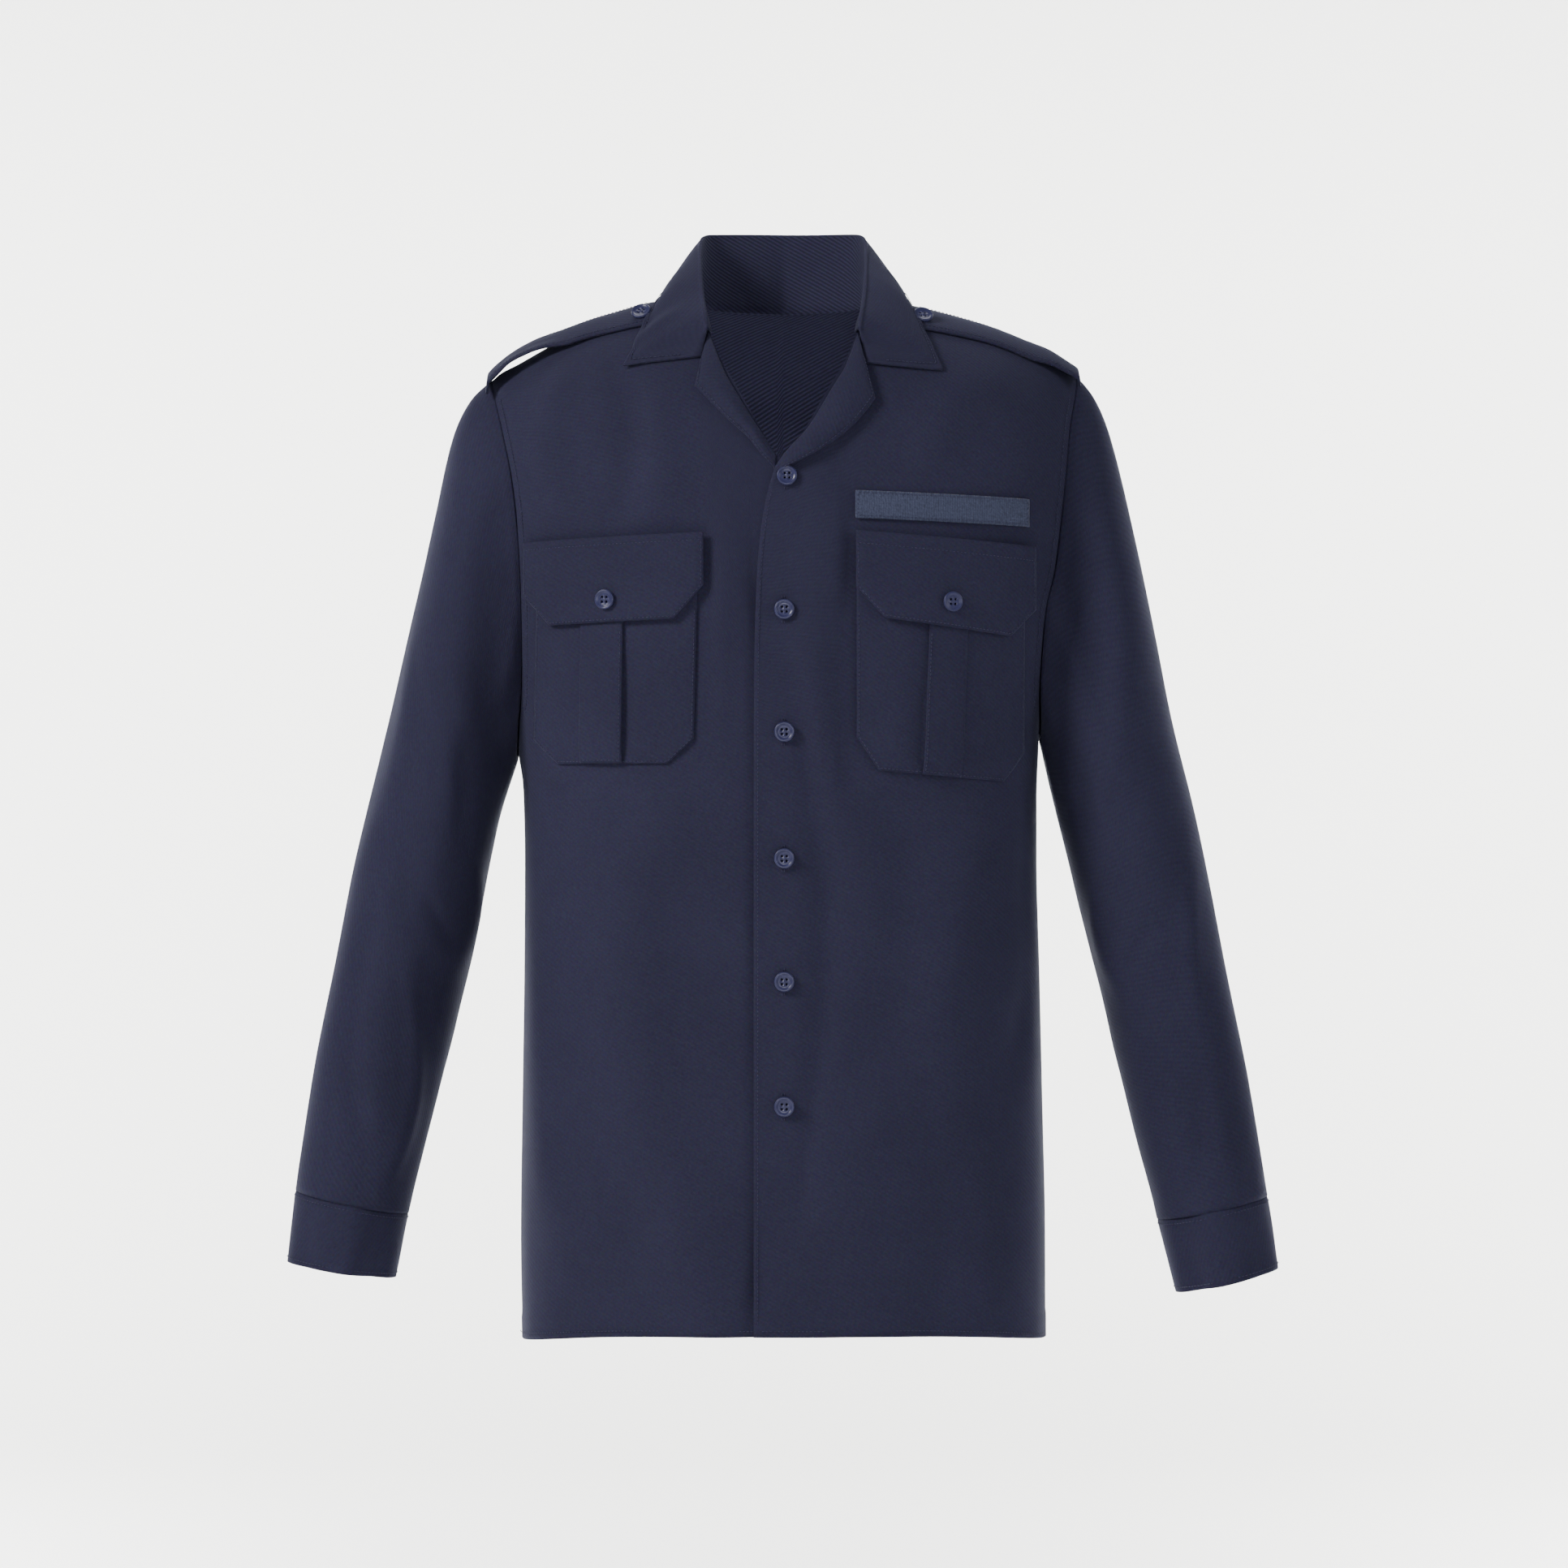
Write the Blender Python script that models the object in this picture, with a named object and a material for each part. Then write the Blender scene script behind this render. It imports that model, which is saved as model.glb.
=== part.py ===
"""Long-sleeved uniform shirt, filled out as worn, with no wearer.

Metres, +Z up. The front faces -Y, the wearer's left is +X. The origin lies between the
shoulders at the height of the neck seam, where the wearer's shoulders hold the shirt.
"""

import math

import bmesh
import bpy
import numpy as np
from mathutils import Vector

# Cloth and seams
CLOTH = 0.0012          # wall of the body and sleeves
TRIM_CLOTH = 0.0014     # wall of collar, cuffs and flaps, which are two layers
SEAM_GAP = 0.0003       # clear gap between neighbouring solids
SEAM_HALF = SEAM_GAP / 2
LAYER_GAP = 0.0010      # clear gap between a panel's curve and what lies on it

# Body heights
HEM_SIDE = -0.776
HEM_FRONT_RISE = 0.0108  # the front hem is cut a little higher than the side seams
ARMPIT = {"right": -0.341, "left": -0.325}
FRONT_ROLL = 0.095      # depth over which the front rounds up to the shoulder line
BACK_ROLL = 0.085

# Neck
NECK_HALF = 0.064       # half width of the neck at the shoulder line
NECK_TOP = 0.001        # height of the shoulder line at the neck
BREAK_POINT = -0.127    # where the two roll lines meet at the front
GORGE_HALF = 0.0545     # half width of the neck where collar and lapel meet
GORGE_TOP = -0.029
BACK_NECK = -0.005      # lowest point of the neck seam at the back

# Front edges
TOP_EDGE = -0.0215      # the left front's edge, on top, left of centre in the view
TOP_EDGE_AT_BREAK = -0.0060
TOP_EDGE_TURN = -0.33   # above this height the edge bends in towards the break point
UNDER_EDGE = 0.016      # the right front's edge, hidden under the left front
OVERLAP_FALL = 0.7      # slope of the front edges' tops past the centre
SETTLE_FROM = 0.004     # past the under edge the left front settles back
SETTLE_OVER = 0.030
OVERLAP_LIFT = 0.0022   # how far the left front stands out over the right front

# Buttons
BUTTON_RADIUS = 0.0074
BUTTON_THICK = 0.0032
BUTTON_SIDES = 14
BUTTON_LINE = 0.0008
TOP_BUTTON_X = 0.0028
FRONT_BUTTONS = (-0.1375, -0.235, -0.324, -0.416, -0.506, -0.597)

# height, half width on each side, depth to the front and back, roundness of the section
BODY_SECTIONS = [
    dict(z=-0.780, right=0.1962, left=0.1978, front=0.124, back=0.118, power=2.35),
    dict(z=-0.700, right=0.1976, left=0.1976, front=0.123, back=0.116, power=2.35),
    dict(z=-0.600, right=0.1964, left=0.1955, front=0.122, back=0.113, power=2.35),
    dict(z=-0.500, right=0.1950, left=0.1932, front=0.122, back=0.111, power=2.35),
    dict(z=-0.420, right=0.1946, left=0.1912, front=0.124, back=0.113, power=2.35),
    dict(z=-0.360, right=0.1960, left=0.1912, front=0.127, back=0.118, power=2.35),
    dict(z=-0.341, right=0.1989, left=0.1920, front=0.128, back=0.120, power=2.35),
    dict(z=-0.325, right=0.2002, left=0.1928, front=0.128, back=0.121, power=2.35),
    dict(z=-0.290, right=0.2030, left=0.1985, front=0.127, back=0.123, power=2.35),
    dict(z=-0.220, right=0.2090, left=0.2090, front=0.124, back=0.126, power=2.40),
    dict(z=-0.150, right=0.2160, left=0.2210, front=0.117, back=0.125, power=2.45),
    dict(z=-0.080, right=0.2280, left=0.2290, front=0.106, back=0.118, power=2.50),
    dict(z=0.010, right=0.2400, left=0.2400, front=0.090, back=0.105, power=2.50),
]

# distance out from the centre along the shoulder, its height on each side
SHOULDER_LINE = [
    dict(x=0.000, right=0.0100, left=0.0100),
    dict(x=0.064, right=0.0012, left=0.0006),
    dict(x=0.093, right=-0.0020, left=-0.0048),
    dict(x=0.130, right=-0.0120, left=-0.0140),
    dict(x=0.157, right=-0.0235, left=-0.0220),
    dict(x=0.180, right=-0.0360, left=-0.0315),
    dict(x=0.199, right=-0.0475, left=-0.0405),
    dict(x=0.213, right=-0.0565, left=-0.0500),
    dict(x=0.240, right=-0.0740, left=-0.0720),
]

# height, distance of the armhole seam from the centre on each side
ARMHOLE = [
    dict(z=-0.345, right=0.1989, left=0.1915),
    dict(z=-0.320, right=0.1968, left=0.1918),
    dict(z=-0.295, right=0.1946, left=0.1908),
    dict(z=-0.262, right=0.1938, left=0.1925),
    dict(z=-0.232, right=0.1941, left=0.1955),
    dict(z=-0.204, right=0.1950, left=0.2022),
    dict(z=-0.172, right=0.1971, left=0.2062),
    dict(z=-0.136, right=0.2014, left=0.2099),
    dict(z=-0.100, right=0.2090, left=0.2133),
    dict(z=-0.063, right=0.2178, left=0.2200),
    dict(z=-0.040, right=0.2210, left=0.2225),
]


def read_table(table, key, column, at):
    """Smooth value of a column where the key column reads `at` (monotone cubic)."""
    keys = [row[key] for row in table]
    values = [row[column] for row in table]
    if at <= keys[0]:
        return values[0]
    if at >= keys[-1]:
        return values[-1]
    steps = [b - a for a, b in zip(keys, keys[1:])]
    slopes = [(b - a) / h for a, b, h in zip(values, values[1:], steps)]
    tangents = [slopes[0]]
    for before, after in zip(slopes, slopes[1:]):
        same_way = before * after > 0
        tangents.append(2 * before * after / (before + after) if same_way else 0.0)
    tangents.append(slopes[-1])
    i = max(k for k in range(len(steps)) if keys[k] <= at)
    t = (at - keys[i]) / steps[i]
    rise = values[i] * (1 + 2 * t) * (1 - t) ** 2 + values[i + 1] * t * t * (3 - 2 * t)
    lean = steps[i] * (tangents[i] * t * (1 - t) ** 2 - tangents[i + 1] * t * t * (1 - t))
    return rise + lean


def smooth_step(t):
    t = min(1.0, max(0.0, t))
    return t * t * (3 - 2 * t)


def sign_of(side):
    return 1.0 if side == "left" else -1.0


def shoulder_height(side, x):
    return read_table(SHOULDER_LINE, "x", side, abs(x))


def body_depth(side, face, x, z):
    """How far the cloth stands from the middle plane at a place across and up the body."""
    half = read_table(BODY_SECTIONS, "z", side, z)
    power = read_table(BODY_SECTIONS, "z", "power", z)
    deep = read_table(BODY_SECTIONS, "z", face, z)
    across = min(1.0, abs(x) / half)
    flat = (1 - across ** power) ** (1 / power)
    roll = FRONT_ROLL if face == "front" else BACK_ROLL
    up = min(1.0, max(0.0, (shoulder_height(side, x) - z) / roll))
    return deep * flat * math.sqrt(1 - (1 - up) ** 2)


def body_point(face, x, z, out=0.0):
    """Point of the outer cloth, moved out along its normal by `out`."""
    side = "left" if x >= 0 else "right"
    towards = -1.0 if face == "front" else 1.0
    y = towards * body_depth(side, face, x, z)
    if out == 0.0:
        return np.array([x, y, z])
    step = 0.0008
    run_x = (towards * body_depth(side, face, x + step, z)
             - towards * body_depth(side, face, x - step, z)) / (2 * step)
    run_z = (towards * body_depth(side, face, x, z + step)
             - towards * body_depth(side, face, x, z - step)) / (2 * step)
    normal = np.array([-run_x, 1.0, -run_z]) * towards
    return np.array([x, y, z]) + out * normal / np.linalg.norm(normal)


def neckline_height(face, side, reach):
    """Height of the neck edge at a distance out from the centre, up to the shoulder line."""
    if reach >= NECK_HALF:
        return shoulder_height(side, reach)
    if face == "back":
        return BACK_NECK + (NECK_TOP - BACK_NECK) * (reach / NECK_HALF) ** 6
    if reach <= 0:
        return BREAK_POINT + OVERLAP_FALL * reach
    if reach <= GORGE_HALF:
        return BREAK_POINT + (GORGE_TOP - BREAK_POINT) * (reach / GORGE_HALF) ** 0.95
    rest = (reach - GORGE_HALF) / (NECK_HALF - GORGE_HALF)
    return GORGE_TOP + (shoulder_height(side, reach) - GORGE_TOP) * rest ** 0.8


# Material helpers


def cloth_material(name, colour, roughness):
    material = bpy.data.materials.new(name)
    material.use_nodes = True
    shader = material.node_tree.nodes["Principled BSDF"]
    shader.inputs["Base Color"].default_value = (*colour, 1.0)
    shader.inputs["Roughness"].default_value = roughness
    shader.inputs["Metallic"].default_value = 0.0
    return material


def navy_twill():
    return cloth_material("navy_twill", (0.028, 0.030, 0.055), 0.85)


def slate_loop():
    return cloth_material("slate_loop_tape", (0.052, 0.070, 0.115), 0.9)


def button_plastic():
    return cloth_material("navy_button_plastic", (0.045, 0.050, 0.110), 0.3)


# Sheets: a grid placed point by point, then given its wall


def link(name, mesh, material):
    piece = bpy.data.objects.new(name, mesh)
    mesh.materials.append(material)
    bpy.context.collection.objects.link(piece)
    return piece


def sheet(name, across, up, place, wall, outward, material, closed=False, outside=False,
          limit=None):
    """Cloth wall with one face through place(u, v) for the listed u and v values.

    The wall lies behind that face, or in front of it where `outside` is set. `limit` keeps
    the points of the wall on their own side of a seam.
    """
    bm = bmesh.new()
    bmesh.ops.create_grid(bm, x_segments=len(across) - 1, y_segments=len(up) - 1, size=0.5)
    columns = len(across) - 1
    rows = len(up) - 1
    for vert in bm.verts:
        i = round((vert.co.x + 0.5) * columns)
        j = round((vert.co.y + 0.5) * rows)
        vert.co = place(across[i], up[j])
    if closed:
        bmesh.ops.remove_doubles(bm, verts=bm.verts, dist=0.00005)
    bm.normal_update()
    lean = sum(face.normal.dot(outward(face.calc_center_median())) for face in bm.faces)
    if lean < 0:
        bmesh.ops.reverse_faces(bm, faces=bm.faces)
    bm.normal_update()
    bmesh.ops.solidify(bm, geom=list(bm.faces), thickness=-wall if outside else wall)
    if outside:
        bmesh.ops.reverse_faces(bm, faces=bm.faces)
    if limit:
        for vert in bm.verts:
            vert.co = limit(vert.co)
    mesh = bpy.data.meshes.new(name)
    bm.to_mesh(mesh)
    bm.free()
    mesh.shade_smooth()
    mesh.set_sharp_from_angle(angle=math.radians(50))
    return link(name, mesh, material)


def even(count):
    return [i / count for i in range(count + 1)]


def eased(count):
    """Values from 0 to 1 that lie closer together at both ends."""
    return [0.5 - 0.5 * math.cos(math.pi * i / count) for i in range(count + 1)]


# Body panels

BODY_ROWS_LOW = 8
BODY_ROWS_HIGH = 12
NECK_COLUMNS = 4
SHOULDER_COLUMNS = 11


def side_edge(side, z):
    """Distance from the centre of the side seam, or of the armhole seam above the armpit."""
    if z <= ARMPIT[side]:
        return read_table(BODY_SECTIONS, "z", side, z)
    return read_table(ARMHOLE, "z", side, z)


def front_edge(side, z):
    """Signed place of a front's own edge at a height."""
    if side == "right":
        return UNDER_EDGE
    turn = smooth_step((z - TOP_EDGE_TURN) / (BREAK_POINT - TOP_EDGE_TURN))
    return TOP_EDGE + (TOP_EDGE_AT_BREAK - TOP_EDGE) * turn ** 3


def hem_height(face, x):
    if face == "back":
        return HEM_SIDE
    return HEM_SIDE + HEM_FRONT_RISE * max(0.0, 1 - (abs(x) / 0.196) ** 4)


def panel(face, side, start, lift):
    """Half of the body from the line start(z) to the side seam and armhole.

    It gives the panel's columns and rows, and the function that places their crossings.
    """
    sign = sign_of(side)

    def across_at(column, z):
        edge = start(z) * sign
        reach = side_edge(side, z)
        return edge + (reach - edge) * math.sin(column * math.pi / 2)

    def top_of(column):
        low, high = start(BREAK_POINT) * sign, 0.24
        for _ in range(40):
            middle = (low + high) / 2
            height = neckline_height(face, side, middle)
            if across_at(column, height) > middle:
                low = middle
            else:
                high = middle
        return neckline_height(face, side, low)

    edge = start(NECK_TOP) * sign
    reach = side_edge(side, NECK_TOP)
    neck = math.asin((NECK_HALF - edge) / (reach - edge)) * 2 / math.pi
    columns = [neck * t for t in even(NECK_COLUMNS)]
    columns += [neck + (1 - neck) * t for t in even(SHOULDER_COLUMNS)[1:]]
    rows = [t - 1 for t in even(BODY_ROWS_LOW)] + eased(BODY_ROWS_HIGH)[1:]
    tops = {column: top_of(column) for column in columns}

    def place(column, row):
        armpit = ARMPIT[side]
        if row > 0:
            z = armpit + (tops[column] - armpit) * row
        else:
            z = armpit
        x = sign * across_at(column, z)
        if row < 0:
            hem = hem_height(face, x)
            z = armpit + (hem - armpit) * -row
            x = sign * across_at(column, z)
        return body_point(face, x, z, lift(x, z))

    return columns, rows, place


def front_lift(x, z):
    """The left front lies over the right front and settles back beside the buttons."""
    return OVERLAP_LIFT * (1 - smooth_step((x - UNDER_EDGE - SETTLE_FROM) / SETTLE_OVER))


def flat_lift(x, z):
    return 0.0


def make_front(side, material):
    lift = front_lift if side == "left" else flat_lift
    columns, rows, place = panel("front", side, lambda z: front_edge(side, z), lift)

    def limit(point):
        return (point[0], min(point[1], -SEAM_HALF), point[2])

    return sheet("front_" + side, columns, rows, place, CLOTH,
                 lambda centre: (centre[0] * 0.5, -1.0, 0.0), material, limit=limit)


def make_back(material):
    right_columns, rows, place_right = panel("back", "right", lambda z: 0.0, flat_lift)
    left_columns, rows, place_left = panel("back", "left", lambda z: 0.0, flat_lift)
    partner = dict(zip(left_columns, right_columns))
    signed = [-column for column in reversed(left_columns)] + left_columns[1:]

    def place(column, row):
        if column < 0:
            return place_right(partner[-column], row)
        return place_left(column, row)

    def limit(point):
        return (point[0], max(point[1], SEAM_HALF), point[2])

    return sheet("back", signed, rows, place, CLOTH,
                 lambda centre: (centre[0] * 0.5, 1.0, 0.0), material, limit=limit)


# Sleeves and cuffs

SLEEVE_SIDES = 22
SLEEVE_ROWS = 15
SLEEVE_HEAD = 0.30      # share of the sleeve over which the armhole's shape fades out
CUFF_GAP = 0.0004
SLEEVE_SEAM = 0.0007    # the sleeve head starts this far out from the body's edge

# share of the way down, outer line of each sleeve as seen from the front
SLEEVE_OUTER = {
    "right": [
        dict(down=0.000, x=0.2190, z=-0.0640),
        dict(down=0.040, x=0.2349, z=-0.0796),
        dict(down=0.085, x=0.2471, z=-0.1040),
        dict(down=0.172, x=0.2611, z=-0.1631),
        dict(down=0.344, x=0.2855, z=-0.2668),
        dict(down=0.460, x=0.3020, z=-0.3370),
        dict(down=0.590, x=0.3203, z=-0.4132),
        dict(down=0.720, x=0.3355, z=-0.4925),
        dict(down=0.865, x=0.3520, z=-0.5810),
        dict(down=1.000, x=0.3636, z=-0.6640),
    ],
    "left": [
        dict(down=0.000, x=0.2208, z=-0.0640),
        dict(down=0.040, x=0.2342, z=-0.0814),
        dict(down=0.085, x=0.2446, z=-0.1040),
        dict(down=0.190, x=0.2647, z=-0.1808),
        dict(down=0.310, x=0.2806, z=-0.2546),
        dict(down=0.400, x=0.2916, z=-0.3095),
        dict(down=0.520, x=0.3068, z=-0.3766),
        dict(down=0.650, x=0.3233, z=-0.4559),
        dict(down=0.850, x=0.3465, z=-0.5779),
        dict(down=1.000, x=0.3611, z=-0.6682),
    ],
}

# share of the way down, inner line of each sleeve
SLEEVE_INNER = {
    "right": [
        dict(down=0.00, x=0.1993, z=-0.3400),
        dict(down=0.15, x=0.2147, z=-0.3919),
        dict(down=0.37, x=0.2288, z=-0.4681),
        dict(down=0.60, x=0.2471, z=-0.5474),
        dict(down=0.82, x=0.2654, z=-0.6206),
        dict(down=1.00, x=0.2794, z=-0.6816),
    ],
    "left": [
        dict(down=0.00, x=0.1934, z=-0.3245),
        dict(down=0.16, x=0.2074, z=-0.3888),
        dict(down=0.35, x=0.2227, z=-0.4559),
        dict(down=0.56, x=0.2410, z=-0.5291),
        dict(down=0.79, x=0.2593, z=-0.6084),
        dict(down=1.00, x=0.2788, z=-0.6859),
    ],
}

# share of the way down, half depth front to back, how far the arm hangs forward
SLEEVE_DEPTH = [
    dict(down=0.00, deep=0.080, forward=0.000),
    dict(down=0.15, deep=0.080, forward=-0.002),
    dict(down=0.35, deep=0.074, forward=-0.004),
    dict(down=0.60, deep=0.063, forward=0.004),
    dict(down=0.80, deep=0.054, forward=0.016),
    dict(down=1.00, deep=0.047, forward=0.030),
]

# bottom edge of each cuff, its outer and inner corner
CUFF_END = {
    "right": dict(outer_x=0.3695, outer_z=-0.7170, inner_x=0.2885, inner_z=-0.7290),
    "left": dict(outer_x=0.3690, outer_z=-0.7220, inner_x=0.2925, inner_z=-0.7400),
}
CUFF_DEEP = 0.041
CUFF_FORWARD = 0.034
CUFF_STEP = 0.0012      # the sleeve's end stands this much out from the cuff


def armhole_point(side, turn):
    """Point of the armhole seam; turn 0 is the top, 0.5 the armpit, front first."""
    face = "front" if turn <= 0.5 else "back"
    down = 0.5 - 0.5 * math.cos(2 * math.pi * turn)
    low, high = 0.20, 0.24
    for _ in range(30):
        middle = (low + high) / 2
        if side_edge(side, shoulder_height(side, middle)) > middle:
            low = middle
        else:
            high = middle
    top = shoulder_height(side, low)
    z = top + (ARMPIT[side] - top) * down
    x = side_edge(side, z)
    y = body_depth(side, face, x, z)
    return np.array([x, -y if face == "front" else y, z])


def sleeve_ring(side, down, turn):
    """Point of a sleeve on the side of +X, before it is put on its own side."""
    outer = [read_table(SLEEVE_OUTER[side], "down", key, down) for key in ("x", "z")]
    inner = [read_table(SLEEVE_INNER[side], "down", key, down) for key in ("x", "z")]
    deep = read_table(SLEEVE_DEPTH, "down", "deep", down)
    forward = read_table(SLEEVE_DEPTH, "down", "forward", down)
    angle = 2 * math.pi * turn
    out = 0.5 + 0.5 * math.cos(angle)
    x = inner[0] + (outer[0] - inner[0]) * out
    z = inner[1] + (outer[1] - inner[1]) * out
    return np.array([x, -deep * math.sin(angle) - forward, z])


def make_sleeve(side, material):
    sign = sign_of(side)

    def place(turn, down):
        point = sleeve_ring(side, down, turn)
        fade = (1 - smooth_step(down / SLEEVE_HEAD))
        head = armhole_point(side, turn) + np.array([SLEEVE_SEAM, 0.0, 0.0])
        point += fade * (head - sleeve_ring(side, 0.0, turn))
        return (sign * point[0], point[1], point[2])

    def outward(centre):
        share = min(1.0, max(0.0, (-centre[2] - 0.2) / 0.48))
        axis_x = 0.235 + 0.085 * share
        return (centre[0] - sign * axis_x, centre[1], 0.0)

    rows = [t ** 1.25 for t in even(SLEEVE_ROWS)]
    return sheet("sleeve_" + side, even(SLEEVE_SIDES), rows, place, CLOTH, outward,
                 material, closed=True)


def make_cuff(side, material):
    sign = sign_of(side)
    end = CUFF_END[side]

    def place(turn, down):
        top = sleeve_ring(side, 1.0, turn)
        middle = (sleeve_ring(side, 1.0, 0.0) + sleeve_ring(side, 1.0, 0.5)) / 2
        top = middle + (top - middle) * (1 - CUFF_STEP / 0.045)
        angle = 2 * math.pi * turn
        out = 0.5 + 0.5 * math.cos(angle)
        x = end["inner_x"] + (end["outer_x"] - end["inner_x"]) * out
        z = end["inner_z"] + (end["outer_z"] - end["inner_z"]) * out
        bottom = np.array([x, -CUFF_DEEP * math.sin(angle) - CUFF_FORWARD, z])
        drop = (bottom - top) / np.linalg.norm(bottom - top)
        point = top + CUFF_GAP * drop + (bottom - top - CUFF_GAP * drop) * down
        return (sign * point[0], point[1], point[2])

    return sheet("cuff_" + side, even(SLEEVE_SIDES), even(2), place, TRIM_CLOTH,
                 lambda centre: (centre[0] - sign * 0.325, centre[1] + 0.032, 0.0),
                 material, closed=True)


# Collar and lapels

COLLAR_LIFT = 0.0008    # the stand's lower edge above the neck seam
COLLAR_INSET = 0.0018   # the stand's lower edge inside the neck seam
FOLD_ROUND = 0.0035     # radius of the collar's turned fold
LEAF_SWELL = 0.0035     # how far the leaf swells out between fold and edge
STEEP_DROP = 0.032      # below this drop the chest is steep, and the leaf clears it forwards
LEAF_CLEAR = 0.0034
STRAP_CLEAR = 0.0060
COLLAR_COLUMNS = 16     # on each side of the back centre

# share of the way from the front end to the back centre: the fold and the leaf's edge
COLLAR = [
    dict(run=0.00, seam=0.00, fold_x=0.0548, fold_y=-0.0775, fold_z=-0.0250,
         edge_x=0.0602, edge_y=-0.0850, edge_z=-0.0470),
    dict(run=0.12, seam=0.10, fold_x=0.0560, fold_y=-0.0710, fold_z=-0.0160,
         edge_x=0.1180, edge_y=-0.0830, edge_z=-0.0535),
    dict(run=0.26, seam=0.22, fold_x=0.0588, fold_y=-0.0470, fold_z=0.0030,
         edge_x=0.1065, edge_y=-0.0620, edge_z=-0.0300),
    dict(run=0.40, seam=0.34, fold_x=0.0605, fold_y=-0.0180, fold_z=0.0240,
         edge_x=0.0975, edge_y=-0.0380, edge_z=-0.0080),
    dict(run=0.54, seam=0.48, fold_x=0.0610, fold_y=0.0100, fold_z=0.0400,
         edge_x=0.0915, edge_y=-0.0050, edge_z=0.0020),
    dict(run=0.67, seam=0.62, fold_x=0.0598, fold_y=0.0350, fold_z=0.0520,
         edge_x=0.0860, edge_y=0.0330, edge_z=0.0010),
    dict(run=0.78, seam=0.74, fold_x=0.0550, fold_y=0.0530, fold_z=0.0565,
         edge_x=0.0745, edge_y=0.0660, edge_z=-0.0055),
    dict(run=0.88, seam=0.86, fold_x=0.0350, fold_y=0.0660, fold_z=0.0578,
         edge_x=0.0460, edge_y=0.0850, edge_z=-0.0120),
    dict(run=1.00, seam=1.00, fold_x=0.0000, fold_y=0.0710, fold_z=0.0580,
         edge_x=0.0000, edge_y=0.0920, edge_z=-0.0145),
]

# cross lines of the collar, from the stand's lower edge over the fold to the leaf's edge
COLLAR_LINES = (0.0, 0.18, 0.34, 0.42, 0.46, 0.50, 0.60, 0.74, 0.88, 1.0)
FOLD_START = 0.42
FOLD_END = 0.50


def neck_seam(side, share):
    """Point of the neck seam from the gorge, over the shoulder, to the back centre."""
    front_share = 0.46
    if share < front_share:
        t = share / front_share
        reach = GORGE_HALF + (NECK_HALF - GORGE_HALF) * t ** 1.3
        face = "front"
    else:
        t = (share - front_share) / (1 - front_share)
        reach = NECK_HALF * math.cos(t * math.pi / 2)
        face = "back"
    sign = sign_of(side)
    return body_point(face, sign * reach, neckline_height(face, side, reach))


def collar_station(side, run):
    def column(name):
        return read_table(COLLAR, "run", name, run)

    sign = sign_of(side)
    fold = np.array([sign * column("fold_x"), column("fold_y"), column("fold_z")])
    edge = np.array([sign * column("edge_x"), column("edge_y"), column("edge_z")])
    base = neck_seam(side, column("seam"))
    middle = np.array([0.0, min(0.0, base[1]), base[2]])
    base += COLLAR_INSET * (middle - base) / np.linalg.norm(middle - base)
    base[2] += COLLAR_LIFT
    return base, fold, edge


def clear_of_body(point):
    """Move a point of the leaf out to its clear distance over shoulder, strap or chest."""
    side = "left" if point[0] >= 0 else "right"
    face = "front" if point[1] <= 0 else "back"
    towards = -1.0 if face == "front" else 1.0
    x, y, z = point
    over_strap = smooth_step((abs(x) - STRAP_START + 0.014) / 0.006)
    over_strap *= smooth_step((y - STRAP_FRONT + 0.014) / 0.006)
    over_strap *= smooth_step((STRAP_BACK + 0.014 - y) / 0.006)
    clear = LEAF_CLEAR + (STRAP_CLEAR - LEAF_CLEAR) * over_strap
    forward = body_depth(side, face, x, z) + clear - abs(y)
    upward = shoulder_top(side, abs(x), y) + clear - z
    steep = shoulder_height(side, x) - z > STEEP_DROP
    if steep and forward > 0:
        return point + np.array([0.0, towards * forward, 0.0])
    if not steep and upward > 0:
        return point + np.array([0.0, 0.0, upward])
    return point


def collar_point(side, run, line):
    base, fold, edge = collar_station(side, run)
    out = edge - fold
    out[2] = 0.0
    out /= max(1e-6, np.linalg.norm(out))
    up = np.array([0.0, 0.0, 1.0])
    width = min(FOLD_ROUND, 0.45 * np.linalg.norm(fold - base))
    inner = fold - up * width
    start = fold + out * width * 2 - up * width
    if line <= FOLD_START:
        return base + (inner - base) * (line / FOLD_START)
    if line <= FOLD_END:
        angle = math.pi * (line - FOLD_START) / (FOLD_END - FOLD_START)
        return inner + out * width * (1 - math.cos(angle)) + up * width * math.sin(angle)
    t = (line - FOLD_END) / (1 - FOLD_END)
    swell = 4 * t * (1 - t) * LEAF_SWELL
    return clear_of_body(start + (edge - start) * t + (out + up * 0.6) * swell)


def make_collar(material):
    def place(run, line):
        side = "left" if run > 0 else "right"
        return tuple(collar_point(side, 1 - abs(run), line))

    shares = [(i / COLLAR_COLUMNS) for i in range(COLLAR_COLUMNS + 1)]
    runs = [-share for share in reversed(shares)] + shares[1:]
    return sheet("collar", runs, list(COLLAR_LINES), place, TRIM_CLOTH,
                 lambda centre: (0.0, 0.0, 1.0), material)


LAPEL_LIFT = 0.0022     # face of the lapel over the front
LAPEL_SWELL = 0.0040    # softer roll in the middle
BUTTON_CLEARANCE = 0.0034  # the left lapel's end rolls over the top button
LAPEL_ROWS = (0.0, 0.14, 0.28, 0.40, 0.55, 0.70, 0.85, 1.0)

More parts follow.
